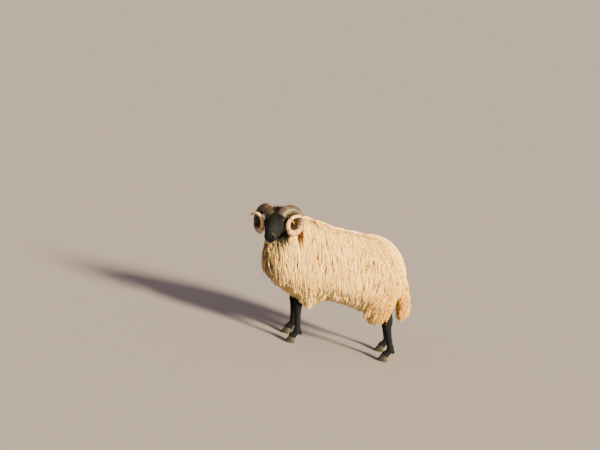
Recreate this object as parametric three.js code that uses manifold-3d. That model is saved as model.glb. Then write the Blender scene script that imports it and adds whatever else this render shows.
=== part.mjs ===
// A horned hill ram, life size, standing with its head turned to its left.
// Lengths are millimetres, +Z is up, the floor is z = 0 and the ram faces -X.
// The woolly solids end where the tips of the fleece end, and the dark ones where the short hair ends.
// The body is lofted whole and parted afterwards by thin cuts, so its pieces fit without a step.
import * as THREE from "three";
import { mergeVertices } from "three/addons/utils/BufferGeometryUtils.js";
import Module from "manifold-3d";

const wasm = await Module();
wasm.setup();

// Driving dimensions
const GAP = 0.4; // between pieces that touch
const BACK_HEIGHT = 806; // top of the fleece over the loin
const HEM_HEIGHT = 318; // lower edge of the fleece under the belly
const BODY_HALF_WIDTH = 246; // at the widest rib, over the fleece
const POLL = new THREE.Vector3(-460, -190, 846); // crown of the head, between the horn roots
const HEAD_YAW = -96; // degrees the face is turned from +X, so it looks to the ram's left
const HEAD_ROLL = 7; // degrees the head is tipped, left side up
const FACE_SLOPE = 35; // degrees the line of the nose falls from level
const EYE_RADIUS = 14;
const HORN_TURNS = 1.28;
const HORN_ROOT_RADIUS = 37;
const HORN_TIP_RADIUS = 6;
const HORN_COIL_RADIUS = 57; // middle line of the outer coil, from its axis
const HORN_ROOT_SWING = 98; // the horn's root, from the coil's axis
const FRONT_FOOT_APART = 112; // from the middle of the body
const HIND_FOOT_APART = 124;
const FETLOCK_HEIGHT = 88;
const HOOF_HEIGHT = 46;

// Rings along each loft and sides round it, and levels of each ball
const FACETS = {
  trunk: [29, 18],
  neck: [12, 18],
  head: [18, 16],
  ear: [9, 10],
  horn: [32, 8],
  tail: [10, 12],
  thigh: [12, 14],
  leg: [11, 9],
  claw: 10,
  eye: 7,
  socket: 6,
  nostril: 4,
  dewclaw: 4,
};

const LEFT = -1; // the ram faces -X, so its left flank is on the side of -Y
const RIGHT = 1;
const SIDES = { left: LEFT, right: RIGHT };
const UP = new THREE.Vector3(0, 0, 1);
const SIDEWAYS = new THREE.Vector3(0, 1, 0);
const UNSCALED = new THREE.Vector3(1, 1, 1);

const { clamp, degToRad: radians, lerp, smoothstep } = THREE.MathUtils;
const power = (value, exponent) => Math.sign(value) * Math.abs(value) ** exponent;
const steps = (count) => Array.from({ length: count }, (_, i) => i);
const anglesRound = (sides) => steps(sides).map((k) => (2 * Math.PI * k) / sides);
const both = (make) => make(LEFT).add(make(RIGHT));

// The row of a table at u from 0 to 1, on a smooth curve through all its rows.
function along(rows, u) {
  const last = rows.length - 1;
  const i = Math.min(Math.floor(u * last), last - 1);
  const t = u * last - i;
  const row = (k) => rows[clamp(k, 0, last)];
  return row(i).map((here, k) => {
    const before = row(i - 1)[k];
    const next = row(i + 1)[k];
    const after = row(i + 2)[k];
    const bend = 2 * before - 5 * here + 4 * next - after;
    const twist = 3 * here - before - 3 * next + after;
    return here + 0.5 * t * (next - before + t * (bend + t * twist));
  });
}

// A closed skin over rings that all have the same number of points, with a fan over each end.
function skinOver(rings) {
  const count = rings[0].length;
  const points = rings.flat();
  const faces = [];
  const fan = (ring, turned) => {
    const centre = new THREE.Vector3();
    rings[ring].forEach((point) => centre.addScaledVector(point, 1 / count));
    const middle = points.push(centre) - 1;
    for (const k of steps(count)) {
      const a = ring * count + k;
      const b = ring * count + ((k + 1) % count);
      faces.push(...(turned ? [b, a, middle] : [a, b, middle]));
    }
  };
  for (const r of steps(rings.length - 1)) {
    for (const k of steps(count)) {
      const a = r * count + k;
      const b = r * count + ((k + 1) % count);
      faces.push(a, b, b + count, a, b + count, a + count);
    }
  }
  fan(0, true);
  fan(rings.length - 1, false);
  const geometry = new THREE.BufferGeometry().setFromPoints(points);
  geometry.setIndex(faces);
  return geometry;
}

// A closed geometry as a manifold solid that faces out, whichever way its rings run.
function solid(geometry, matrix = new THREE.Matrix4()) {
  const plain = new THREE.BufferGeometry();
  plain.setAttribute("position", geometry.getAttribute("position").clone());
  plain.setIndex(geometry.index);
  plain.applyMatrix4(matrix);
  const merged = mergeVertices(plain, 1e-3);
  const vertProperties = merged.attributes.position.array;
  const triVerts = new Uint32Array(merged.index.array);
  const make = () =>
    new wasm.Manifold(new wasm.Mesh({ numProp: 3, vertProperties, triVerts: triVerts.slice() }));
  const made = make();
  if (made.volume() > 0) {
    return made;
  }
  triVerts.reverse();
  return make();
}

// A manifold solid as a geometry. Slivers that a cut leaves beside the main body are dropped.
function geometryOf(manifold) {
  const bodies = manifold.decompose().sort((a, b) => b.volume() - a.volume());
  const mesh = bodies[0].getMesh();
  const geometry = new THREE.BufferGeometry();
  const places = new THREE.BufferAttribute(mesh.vertProperties, mesh.numProp);
  geometry.setAttribute("position", places);
  geometry.setIndex(new THREE.BufferAttribute(mesh.triVerts, 1));
  geometry.computeVertexNormals();
  return geometry;
}

// A loft through rings: ringAt gives the ring of points at u, from 0 to 1.
const loft = (ringAt, rings, matrix) =>
  solid(skinOver(steps(rings + 1).map((r) => ringAt(r / rings))), matrix);

// A loft down a bent middle line. Each row is x, y, z, half width, half depth above or in front,
// and half depth below or behind. Its width lies along sideways, or else level across the line.
function limb(rows, [rings, sides], { grow = 0, sideways = null } = {}) {
  const centre = (u) => new THREE.Vector3(...along(rows, clamp(u, 0, 1)).slice(0, 3));
  const ringAt = (u) => {
    const [, , , half, above, below] = along(rows, u);
    const ahead = centre(u + 0.01).sub(centre(u - 0.01)).normalize();
    const across = sideways ? sideways.clone() : ahead.clone().cross(UP);
    across.addScaledVector(ahead, -across.dot(ahead)).normalize();
    const out = across.clone().cross(ahead);
    return anglesRound(sides).map((angle) => {
      const depth = Math.sin(angle) > 0 ? above : below;
      return centre(u)
        .addScaledVector(ahead, grow * (2 * u - 1))
        .addScaledVector(across, (half + grow) * Math.cos(angle))
        .addScaledVector(out, (depth + grow) * Math.sin(angle));
    });
  };
  return loft(ringAt, rings);
}

// A ball with three radii.
function ball(centre, radii, levels, matrix) {
  const sphere = new THREE.SphereGeometry(1, levels * 2, levels);
  sphere.scale(...radii);
  sphere.translate(...centre);
  return solid(sphere, matrix);
}

// All that lies on the side of a plane that its normal points to, more than offset from it.
function sideOf({ at, normal }, offset) {
  const size = 4000;
  const turn = new THREE.Quaternion().setFromUnitVectors(UP, normal);
  const centre = normal.clone().multiplyScalar(size / 2 + offset).add(at);
  const place = new THREE.Matrix4().compose(centre, turn, UNSCALED);
  return solid(new THREE.BoxGeometry(size, size, size), place);
}

const plane = (x, y, z, nx, ny, nz) => ({
  at: new THREE.Vector3(x, y, z),
  normal: new THREE.Vector3(nx, ny, nz).normalize(),
});
const flipped = ({ at, normal }) => ({ at, normal: normal.clone().negate() });

// The trunk: a deep barrel, with the fleece hanging lowest behind the elbow and before the thigh.
// Each row is x, top, bottom, half width, and the exponent of the back's curve.
const TRUNK = [
  [-520, 640, 505, 60, 2],
  [-510, 690, 462, 112, 2],
  [-478, 738, 425, 154, 1.9],
  [-425, 778, 376, 184, 1.8],
  [-350, 812, 338, 206, 1.75],
  [-262, 836, 300, 222, 1.8],
  [-190, 832, 258, 233, 1.95],
  [-140, 822, 246, 240, 2.1],
  [-85, BACK_HEIGHT + 4, HEM_HEIGHT - 18, BODY_HALF_WIDTH - 1, 2.15],
  [10, BACK_HEIGHT - 2, HEM_HEIGHT + 2, BODY_HALF_WIDTH, 2.2],
  [110, BACK_HEIGHT - 2, HEM_HEIGHT - 8, BODY_HALF_WIDTH - 2, 2.2],
  [205, BACK_HEIGHT, HEM_HEIGHT - 22, BODY_HALF_WIDTH - 8, 2.2],
  [285, 790, 322, 228, 2.2],
  [345, 757, 360, 212, 2.1],
  [398, 704, 410, 182, 2],
  [434, 640, 452, 138, 2],
  [453, 586, 506, 62, 2],
];
const BELLY_EXPONENT = 2.7;
const WIDEST = 0.42; // the widest level, as a share of the way from bottom to top

function trunkLoft(grow = 0) {
  const [rings, sides] = FACETS.trunk;
  const ringAt = (u) => {
    const [x, top, bottom, half, square] = along(TRUNK, u);
    const widest = lerp(bottom, top, WIDEST);
    return anglesRound(sides).map((angle) => {
      const up = Math.sin(angle);
      const exponent = 2 / (up > 0 ? square : BELLY_EXPONENT);
      const reach = (up > 0 ? top - widest : widest - bottom) + grow;
      const y = (half + grow) * power(Math.cos(angle), exponent);
      return new THREE.Vector3(x + grow * (2 * u - 1), y, widest + reach * power(up, exponent));
    });
  };
  return loft(ringAt, rings);
}

// The neck: short and thick under its ruff, bending round to the ram's left. Rows are as in limb.
const NECK = [
  [-215, 10, 622, 140, 178, 170],
  [-318, 0, 684, 164, 174, 180],
  [-384, -28, 734, 146, 136, 172],
  [-428, -76, 768, 118, 100, 146],
  [-446, -122, 786, 90, 72, 112],
];
const neckLoft = () => limb(NECK, FACETS.neck);

// The head's own frames. In headFrame +X looks level the way the face is turned, +Y is the left
// and +Z is up. In faceFrame +X runs down the nose from the poll and +Z stands out of the forehead.
const headTurn = new THREE.Euler(radians(HEAD_ROLL), 0, radians(HEAD_YAW), "ZYX");
const headFrame = new THREE.Matrix4().compose(
  POLL,
  new THREE.Quaternion().setFromEuler(headTurn),
  UNSCALED,
);
const faceSlope = new THREE.Matrix4().makeRotationY(radians(FACE_SLOPE));
const faceFrame = headFrame.clone().multiply(faceSlope);
const onSide = (way, [x, y, z]) => [x, -way * y, z];

// The head: broad jaws, a high arched nose and a blunt muzzle.
// Each row is the distance down the nose, half width, height above and depth below its line.
const HEAD = [
  [-62, 34, 8, 66],
  [-48, 46, 20, 90],
  [-18, 54, 30, 112],
  [16, 57, 34, 132],
  [46, 59, 36, 142],
  [77, 59, 38, 139],
  [108, 56, 41, 123],
  [139, 50, 42, 102],
  [171, 45, 39, 85],
  [200, 42, 32, 75],
  [220, 41, 20, 68],
  [234, 34, 3, 60],
  [240, 19, -12, 44],
];
const HEAD_ACROSS_EXPONENT = 0.86;
const HEAD_UP_EXPONENT = 0.9;
const JAW_NARROWING = 0.34; // of the half width, at the lower edge of the jaw
const BROW_NARROWING = 0.1; // of the half width, at the top of the forehead
const EYE_AT = [74, 49, 8]; // down the nose, out to the side, and up from the nose's line
const SOCKET_RADII = [26, 19, 21];
const SOCKET_INSET = 8; // the middle of the bony rim, from the middle of the eye
const NOSTRIL_AT = [226, 21, 0];
const NOSTRIL_RADII = [12, 7, 5];
const MOUTH_SIZE = [90, 120, 2.4]; // length, width and height of the cut between the lips
const MOUTH_AT = [228, 0, -43];
const MOUTH_SLOPE = -8; // degrees
const LIP_DEPTH = 5;

function headLoft(grow = 0) {
  const [rings, sides] = FACETS.head;
  const ringAt = (u) => {
    const [x, half, above, below] = along(HEAD, u);
    return anglesRound(sides).map((angle) => {
      const up = Math.sin(angle);
      const jaw = 1 - JAW_NARROWING * smoothstep(-up, -0.1, 1);
      const brow = 1 - BROW_NARROWING * smoothstep(up, 0.3, 1);
      const y = (half + grow) * power(Math.cos(angle), HEAD_ACROSS_EXPONENT) * jaw * brow;
      const reach = (above + below) / 2 + grow;
      const z = (above - below) / 2 + reach * power(up, HEAD_UP_EXPONENT);
      return new THREE.Vector3(x + grow * (2 * u - 1), y, z);
    });
  };
  return loft(ringAt, rings, faceFrame);
}

const eye = (way, grow = 0) =>
  ball(onSide(way, EYE_AT), Array(3).fill(EYE_RADIUS + grow), FACETS.eye, faceFrame);

function head() {
  const [x, y, z] = EYE_AT;
  const socket = (way) =>
    ball(onSide(way, [x, y - SOCKET_INSET, z]), SOCKET_RADII, FACETS.socket, faceFrame);
  const nostril = (way) => ball(onSide(way, NOSTRIL_AT), NOSTRIL_RADII, FACETS.nostril, faceFrame);
  const slit = new THREE.BoxGeometry(...MOUTH_SIZE);
  slit.rotateY(radians(MOUTH_SLOPE));
  slit.translate(...MOUTH_AT);
  const lips = solid(slit, faceFrame).subtract(headLoft(-LIP_DEPTH));
  return headLoft().add(both(socket)).subtract(both(nostril)).subtract(lips);
}

// The ears: leaves, hollow in front, that stand out level through the curl of the horn.
// Each row is the distance out from the head, half width, half thickness, and droop.
const EAR = [
  [0, 13, 9, 0],
  [18, 20, 8, 0],
  [45, 27, 6, 2],
  [75, 25, 5, 7],
  [98, 15, 4, 12],
  [112, 4, 2, 16],
];
const EAR_AT = [-14, 40, -70];
const EAR_FORWARD = 0.22; // the ear's way forward, for each step outward
const EAR_HOLLOW = 0.25; // how far its edges curl forward, for each step across

function ear(way, grow = 0) {
  const [rings, sides] = FACETS.ear;
  const [x, y, z] = EAR_AT;
  const ringAt = (u) => {
    const [out, half, thick, droop] = along(EAR, u);
    return anglesRound(sides).map((angle) => {
      const across = Math.cos(angle);
      const curl = EAR_HOLLOW * half * (across * across - 0.5);
      const forward = x + EAR_FORWARD * out + curl + (thick + grow) * Math.sin(angle);
      const side = y + out + grow * (2 * u - 1);
      return new THREE.Vector3(forward, -way * side, z - droop + (half + grow) * across);
    });
  };
  return loft(ringAt, rings, headFrame);
}

// The horns: one and a quarter turns, up and out from the poll, back and down, forward beside
// the cheek, up again and over, with the tip turned out.
const HORN_COIL_AT = [-8, 124, -66]; // the middle of the coil, from the poll
const HORN_AXIS_TURN = 50; // degrees between the coil's axis and the way the face looks
const HORN_START = 144; // degrees round the coil, from level and outward, where the root stands
const HORN_TIGHTENING = 0.28; // share of the horn over which its swing closes to the coil
const HORN_TAPER = 0.85; // exponent of its thickness and of its advance
const HORN_ADVANCE = 60; // how far the coil travels outward along its axis
const HORN_SET_BACK = 0.78; // share of the advance that lies behind the coil's middle
const HORN_FLARE = 40; // how far the tip turns out beyond that
const HORN_FLARE_SPAN = [0.7, 1.15]; // shares of the horn where the flare starts and would end
const HORN_FLATNESS = 0.9; // thickness along the axis, as a share of the other way
const HORN_KEELS = 0.07; // depth of its three long edges, as a share of its radius

function horn(way, grow = 0) {
  const [rings, sides] = FACETS.horn;
  const turn = radians(HORN_AXIS_TURN);
  const axis = new THREE.Vector3(...onSide(way, [Math.cos(turn), Math.sin(turn), 0]));
  const back = new THREE.Vector3(...onSide(way, [-Math.sin(turn), Math.cos(turn), 0]));
  const centre = (at) => {
    const u = clamp(at, 0, 1);
    const angle = radians(HORN_START) - 2 * Math.PI * HORN_TURNS * u;
    const closing = Math.exp(-((u / HORN_TIGHTENING) ** 2));
    const swing = lerp(HORN_COIL_RADIUS, HORN_ROOT_SWING, closing);
    const advance = HORN_ADVANCE * (u ** HORN_TAPER - HORN_SET_BACK);
    const flare = HORN_FLARE * smoothstep(u, ...HORN_FLARE_SPAN);
    return new THREE.Vector3(...onSide(way, HORN_COIL_AT))
      .addScaledVector(back, swing * Math.cos(angle))
      .addScaledVector(UP, swing * Math.sin(angle))
      .addScaledVector(axis, advance + flare);
  };
  const ringAt = (u) => {
    const ahead = centre(u + 0.01).sub(centre(u - 0.01)).normalize();
    const outward = axis.clone().addScaledVector(ahead, -axis.dot(ahead)).normalize();
    const keel = outward.clone().cross(ahead);
    const radius = lerp(HORN_ROOT_RADIUS, HORN_TIP_RADIUS, u ** HORN_TAPER) + grow;
    return anglesRound(sides).map((angle) => {
      const edge = radius * (1 + HORN_KEELS * Math.cos(3 * angle));
      return centre(u)
        .addScaledVector(ahead, grow * (2 * u - 1))
        .addScaledVector(outward, HORN_FLATNESS * edge * Math.cos(angle))
        .addScaledVector(keel, edge * Math.sin(angle));
    });
  };
  return loft(ringAt, rings, headFrame);
}

// The tail: a bushy hanging tassel of wool. Rows are as in limb.
const TAIL = [
  [404, 0, 600, 34, 26, 26],
  [432, 0, 545, 46, 30, 34],
  [455, 0, 480, 54, 34, 36],
  [470, 0, 410, 60, 44, 42],
  [482, 0, 345, 52, 40, 42],
  [490, 0, 300, 36, 28, 34],
  [496, 0, 280, 16, 12, 16],
];
const tailLoft = () => limb(TAIL, FACETS.tail, { sideways: SIDEWAYS });

// The wool of the thigh, which hangs over the hock. Rows are as in limb.
const THIGH = [
  [286, 118, 560, 96, 120, 118],
  [290, 130, 470, 104, 128, 128],
  [292, 134, 395, 98, 116, 122],
  [302, 134, 338, 84, 100, 104],
  [318, 132, 288, 64, 80, 76],
  [326, 130, 259, 40, 52, 46],
  [328, 130, 248, 16, 20, 18],
];
const thighLoft = (way, grow = 0) =>
  limb(
    THIGH.map(([x, y, ...rest]) => [x, way * y, ...rest]),
    FACETS.thigh,
    { grow, sideways: SIDEWAYS },
  );

// The legs. Each row is x from the fetlock, z, half width, half depth in front and behind.
const FRONT_LEG = [
  [-26, 400, 36, 44, 44],
  [-24, 330, 34, 40, 40],
  [-22, 290, 30, 32, 32],
  [-20, 252, 31, 31, 30],
  [-15, 222, 25, 26, 25],
  [-7, 170, 22, 23, 22],
  [1, 118, 22, 23, 23],
  [5, FETLOCK_HEIGHT, 27, 26, 27],
  [-6, 64, 26, 24, 23],
  [-19, 44, 29, 29, 26],
  [-23, 30, 27, 26, 24],
];
const HIND_LEG = [
  [-125, 400, 38, 52, 50],
  [-88, 345, 34, 46, 46],
  [-60, 300, 29, 40, 42],
  [-47, 266, 28, 35, 38],
  [-38, 226, 25, 29, 29],
  [-21, 176, 22, 24, 23],
  [-3, 122, 22, 23, 23],
  [8, FETLOCK_HEIGHT, 27, 27, 27],
  [-4, 64, 26, 24, 23],
  [-17, 44, 29, 29, 26],
  [-21, 30, 27, 26, 24],
];
const LEGS = {
  front_left: { x: -197, y: LEFT * FRONT_FOOT_APART, rows: FRONT_LEG },
  front_right: { x: -248, y: RIGHT * FRONT_FOOT_APART, rows: FRONT_LEG },
  hind_left: { x: 434, y: LEFT * HIND_FOOT_APART, rows: HIND_LEG },
  hind_right: { x: 418, y: RIGHT * HIND_FOOT_APART, rows: HIND_LEG },
};
const DEWCLAW_AT = [32, 14, 74]; // behind the fetlock, out from the middle, and up
const DEWCLAW_RADII = [9, 8, 13];

function leg({ x, y, rows }) {
  const [behind, apart, height] = DEWCLAW_AT;
  const dewclaw = (way) =>
    ball([x + behind, y + way * apart, height], DEWCLAW_RADII, FACETS.dewclaw);
  const placed = rows.map(([ahead, z, ...radii]) => [x + ahead, y, z, ...radii]);
  return limb(placed, FACETS.leg, { sideways: SIDEWAYS }).add(both(dewclaw));
}

// A claw of a cloven hoof: a flat sole, a sloping toe and a flatter inner wall.
// Each row is z, toe, heel and half width.
const CLAW = [
  [0, -37, 29, 15],
  [9, -35, 28, 15],
  [27, -25, 26, 14],
  [HOOF_HEIGHT, -15, 22, 12],
];
const CLAW_APART = 13.5; // from the middle of the foot to the middle of a claw
const CLAW_AHEAD = 27; // the claw's middle, in front of the fetlock
const CLAW_INNER_WALL = 0.72; // bulge of the inner wall, as a share of the outer
const CLAW_EXPONENT = 0.75;
const TOE_NARROWING = 0.22;

function claw({ x, y }, way, grow = 0) {
  const rings = CLAW.map(([z, toe, heel, half], level) => {
    const lift = level === CLAW.length - 1 ? grow : 0;
    return anglesRound(FACETS.claw).map((angle) => {
      const wall = Math.sin(angle) * way > 0 ? 1 : CLAW_INNER_WALL;
      const narrow = 1 - TOE_NARROWING * Math.max(0, -Math.cos(angle));
      const ahead = (toe + heel) / 2 + ((heel - toe) / 2 + grow) * Math.cos(angle);
      const across = (half + grow) * wall * narrow * power(Math.sin(angle), CLAW_EXPONENT);
      return new THREE.Vector3(x - CLAW_AHEAD + ahead, y + way * CLAW_APART + across, z + lift);
    });
  });
  return solid(skinOver(rings));
}

// Where the fleece is parted: from the withers down to the throat, over the thigh, in front of
// the thigh, and down the middle between the two thighs.
const NECK_CUT = plane(-390, 0, 738, -0.6, 0, 0.8);
const THIGH_TOP_CUT = plane(300, 0, 452, 0.34, 0, -0.94);
const THIGH_FRONT_CUT = plane(176, 0, 330, 1, 0, 0.2);
const flank = (way) => plane(0, 0, 0, 0, way, 0);

const hindquarters = (offset) =>
  sideOf(THIGH_TOP_CUT, offset).intersect(sideOf(THIGH_FRONT_CUT, offset));
const clearOfHead = (part) =>
  part
    .subtract(headLoft(GAP))
    .subtract(both((way) => horn(way, GAP)))
    .subtract(both((way) => ear(way, GAP)));
const clearOfFleece = (part) =>
  part.subtract(trunkLoft(GAP)).subtract(both((way) => thighLoft(way, GAP)));

// Surfaces
const WOOL = { color: 0xe9cf9a, roughness: 0.95, metalness: 0 };
const DARK_HAIR = { color: 0x24201f, roughness: 0.7, metalness: 0 };
const HORN_KERATIN = { color: 0xd9bd93, roughness: 0.55, metalness: 0 };
const HOOF_KERATIN = { color: 0x2e2723, roughness: 0.5, metalness: 0 };
const EYE_SURFACE = { color: 0x6b4a20, roughness: 0.1, metalness: 0 };

const ram = new THREE.Group();

function add(name, manifold, surface) {
  const mesh = new THREE.Mesh(geometryOf(manifold), new THREE.MeshStandardMaterial(surface));
  mesh.name = name;
  ram.add(mesh);
}

const fleece = clearOfHead(trunkLoft().add(both(thighLoft)).add(neckLoft()));
const behindNeck = fleece.intersect(sideOf(flipped(NECK_CUT), GAP / 2));
const thighs = behindNeck.intersect(hindquarters(GAP / 2));
add("trunk", behindNeck.subtract(hindquarters(-GAP / 2)), WOOL);
add("neck", fleece.intersect(sideOf(NECK_CUT, GAP / 2)), WOOL);
add("tail", clearOfFleece(tailLoft()), WOOL);

const eyesAndHorns = both((way) => eye(way, GAP)).add(both((way) => horn(way, GAP)));
add("head", head().subtract(eyesAndHorns), DARK_HAIR);

for (const [side, way] of Object.entries(SIDES)) {
  add(`thigh_${side}`, thighs.intersect(sideOf(flank(way), GAP / 2)), WOOL);
  add(`eye_${side}`, eye(way), EYE_SURFACE);
  add(`horn_${side}`, horn(way), HORN_KERATIN);
  add(`ear_${side}`, ear(way).subtract(headLoft(GAP)).subtract(horn(way, GAP)), DARK_HAIR);
}

for (const [corner, foot] of Object.entries(LEGS)) {
  const outward = Math.sign(foot.y);
  const claws = both((way) => claw(foot, way, GAP));
  add(`leg_${corner}`, clearOfFleece(leg(foot)).subtract(claws), DARK_HAIR);
  add(`claw_${corner}_inner`, claw(foot, -outward), HOOF_KERATIN);
  add(`claw_${corner}_outer`, claw(foot, outward), HOOF_KERATIN);
}

// The origin is on the floor, under the middle of the ram's outline.
const middle = new THREE.Box3().setFromObject(ram).getCenter(new THREE.Vector3());
ram.position.set(-middle.x, -middle.y, 0);

export default ram;
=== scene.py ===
import math

import bmesh
import bpy
import numpy as np
from mathutils import Matrix, Vector
from mathutils.bvhtree import BVHTree
from mathutils.kdtree import KDTree


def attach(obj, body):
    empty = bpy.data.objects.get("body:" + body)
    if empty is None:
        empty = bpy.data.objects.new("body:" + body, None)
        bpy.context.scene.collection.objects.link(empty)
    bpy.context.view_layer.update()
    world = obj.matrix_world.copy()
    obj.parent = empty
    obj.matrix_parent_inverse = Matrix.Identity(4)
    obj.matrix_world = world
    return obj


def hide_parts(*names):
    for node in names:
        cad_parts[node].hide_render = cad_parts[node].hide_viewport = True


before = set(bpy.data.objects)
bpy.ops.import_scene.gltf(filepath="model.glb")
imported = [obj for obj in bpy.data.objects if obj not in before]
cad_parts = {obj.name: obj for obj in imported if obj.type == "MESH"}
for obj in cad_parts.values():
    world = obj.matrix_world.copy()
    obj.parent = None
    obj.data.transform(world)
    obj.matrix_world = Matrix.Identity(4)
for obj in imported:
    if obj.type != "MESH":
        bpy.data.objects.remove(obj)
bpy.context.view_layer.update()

bpy.ops.object.select_all(action="DESELECT")


# ---------------------------------------------------------------------------------------------
# The hide: one skin over muzzle, ears, body, tail and legs, as a taxidermist draws it over a
# form. Under the wool it lies a staple's depth inside the outline, and under the short hair of
# the face and legs a few millimetres.
MM = 0.001
AT = Vector((58.3, 69.1, 0)) * MM  # from the body's own middle to the middle of the outline
LEFT, RIGHT = -1, 1
WOOL_DEPTH = 44 * MM
HAIR_DEPTH = 2.5 * MM
MOST_DRAWN_IN = 0.42  # the coat takes up no more than this share of a small radius
POLL = Vector((-460, -190, 846)) * MM
FACE_TURN = (7, 0, -96)  # degrees: rolled, and turned to the ram's left
FACE_SLOPE = 35

# x, top, bottom, half width, squareness of the back
TRUNK = [
    (-520, 640, 505, 60, 2),
    (-510, 690, 462, 112, 2),
    (-478, 738, 425, 154, 1.9),
    (-425, 778, 376, 184, 1.8),
    (-350, 812, 338, 206, 1.75),
    (-262, 836, 300, 222, 1.8),
    (-190, 832, 258, 233, 1.95),
    (-140, 822, 246, 240, 2.1),
    (-85, 810, 300, 245, 2.15),
    (10, 804, 320, 246, 2.2),
    (110, 804, 310, 244, 2.2),
    (205, 806, 296, 238, 2.2),
    (285, 790, 322, 228, 2.2),
    (345, 757, 360, 212, 2.1),
    (398, 704, 410, 182, 2),
    (434, 640, 452, 138, 2),
    (453, 586, 506, 62, 2),
]
BELLY_SQUARENESS = 2.7
WIDEST_LEVEL = 0.42
# x, y, z, half width, half depth above or in front, half depth below or behind
NECK = [
    (-215, 10, 622, 140, 178, 170),
    (-318, 0, 684, 164, 174, 180),
    (-384, -28, 734, 146, 136, 172),
    (-428, -76, 768, 118, 100, 146),
    (-446, -122, 786, 90, 72, 112),
]
NECK_CORE = [
    (-215, 10, 622, 96, 130, 125),
    (-318, 0, 684, 112, 122, 130),
    (-384, -28, 734, 96, 92, 118),
    (-428, -76, 768, 74, 62, 92),
    (-450, -132, 792, 54, 48, 70),
    (-460, -176, 800, 40, 36, 56),
]
TAIL = [
    (404, 0, 600, 34, 26, 26),
    (432, 0, 545, 46, 30, 34),
    (455, 0, 480, 54, 34, 36),
    (470, 0, 410, 60, 44, 42),
    (482, 0, 345, 52, 40, 42),
    (490, 0, 300, 36, 28, 34),
    (496, 0, 280, 16, 12, 16),
]
THIGH = [
    (286, 118, 560, 96, 120, 118),
    (290, 130, 470, 104, 128, 128),
    (292, 134, 395, 98, 116, 122),
    (302, 134, 338, 84, 100, 104),
    (318, 132, 288, 64, 80, 76),
    (326, 130, 259, 40, 52, 46),
    (328, 130, 248, 16, 20, 18),
]
# x from the fetlock, z, half width, half depth in front and behind
FRONT_LEG = [
    (-26, 400, 36, 44, 44),
    (-24, 330, 34, 40, 40),
    (-22, 290, 30, 32, 32),
    (-20, 252, 31, 31, 30),
    (-15, 222, 25, 26, 25),
    (-7, 170, 22, 23, 22),
    (1, 118, 22, 23, 23),
    (5, 88, 27, 26, 27),
    (-6, 64, 26, 24, 23),
    (-19, 44, 29, 29, 26),
    (-23, 30, 27, 26, 24),
]
HIND_LEG = [
    (-125, 400, 38, 52, 50),
    (-88, 345, 34, 46, 46),
    (-60, 300, 29, 40, 42),
    (-47, 266, 28, 35, 38),
    (-38, 226, 25, 29, 29),
    (-21, 176, 22, 24, 23),
    (-3, 122, 22, 23, 23),
    (8, 88, 27, 27, 27),
    (-4, 64, 26, 24, 23),
    (-17, 44, 29, 29, 26),
    (-21, 30, 27, 26, 24),
]
FEET = {
    "front_left": (-197, -112, FRONT_LEG),
    "front_right": (-248, 112, FRONT_LEG),
    "hind_left": (434, -124, HIND_LEG),
    "hind_right": (418, 124, HIND_LEG),
}
# down the nose, half width, height above and depth below its line
HEAD = [
    (-62, 34, 8, 66),
    (-48, 46, 20, 90),
    (-18, 54, 30, 112),
    (16, 57, 34, 132),
    (46, 59, 36, 142),
    (77, 59, 38, 139),
    (108, 56, 41, 123),
    (139, 50, 42, 102),
    (171, 45, 39, 85),
    (200, 42, 32, 75),
    (220, 41, 20, 68),
    (234, 34, 3, 60),
    (240, 19, -12, 44),
]
JAW_NARROWING = 0.34
BROW_NARROWING = 0.1
HEAD_ROUNDNESS = (0.86, 0.9)  # across and up, 1 for an ellipse
EYE_AT = (74, 49, 8)
EYE_RADIUS = 14
# out from the head, half width, half thickness, droop
EAR = [
    (0, 13, 9, 0),
    (18, 20, 8, 0),
    (45, 27, 6, 2),
    (75, 25, 5, 7),
    (98, 15, 4, 12),
    (112, 4, 2, 16),
]
EAR_AT = (-14, 40, -70)
EAR_FORWARD = 0.22
EAR_HOLLOW = 0.25
EAR_SKIN = 1.2
BROW_FROM_EYE = (-6, -10, -3)
BROW_RADII = (38, 18, 25)
BROW_REACH = 48
DEWCLAW_AT = (32, 14, 74)
DEWCLAW_RADII = (8, 7, 12)
HIDE_FINENESS = 2.6 * MM
# where the skin keeps fine faces, in metres of the face's frame
SKULL_MIDDLE = Vector((0.07, 0, -0.03))
SKULL_REACH = 0.21
MUZZLE_MIDDLE = Vector((0.222, 0, -0.026))
MUZZLE_REACH = 0.052
LID_REACHES = (0.030, 0.022)
NOSTRIL_REACH = 0.020

roll, pitch, yaw = (math.radians(a) for a in FACE_TURN)
body_frame = Matrix.Translation(AT)
head_frame = (
    Matrix.Translation(POLL + AT)
    @ Matrix.Rotation(yaw, 4, "Z")
    @ Matrix.Rotation(pitch, 4, "Y")
    @ Matrix.Rotation(roll, 4, "X")
)
face_frame = head_frame @ Matrix.Rotation(math.radians(FACE_SLOPE), 4, "Y")


def smoothstep(value, low=0.0, high=1.0):
    t = np.clip((value - low) / (high - low), 0, 1)
    return t * t * (3 - 2 * t)


def power(value, exponent):
    return np.sign(value) * np.abs(value) ** exponent


def unit(vectors):
    return vectors / np.maximum(np.linalg.norm(vectors, axis=-1, keepdims=True), 1e-9)


def placed(points, matrix):
    """Points in millimetres, carried by a matrix into the scene, in metres."""
    m = np.array(matrix)
    return (points * MM) @ m[:3, :3].T + m[:3, 3]


def along(rows, u):
    """The rows of a table at each u from 0 to 1, on smooth curves through all its rows."""
    rows = np.array(rows, float)
    last = len(rows) - 1
    at = np.clip(u, 0, 1) * last
    i = np.minimum(at.astype(int), last - 1)
    t = (at - i)[:, None]
    before, here, after, beyond = (rows[np.clip(i + k, 0, last)] for k in (-1, 0, 1, 2))
    bend = 2 * before - 5 * here + 4 * after - beyond
    twist = 3 * here - before - 3 * after + beyond
    return here + 0.5 * t * (after - before + t * (bend + t * twist))


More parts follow.
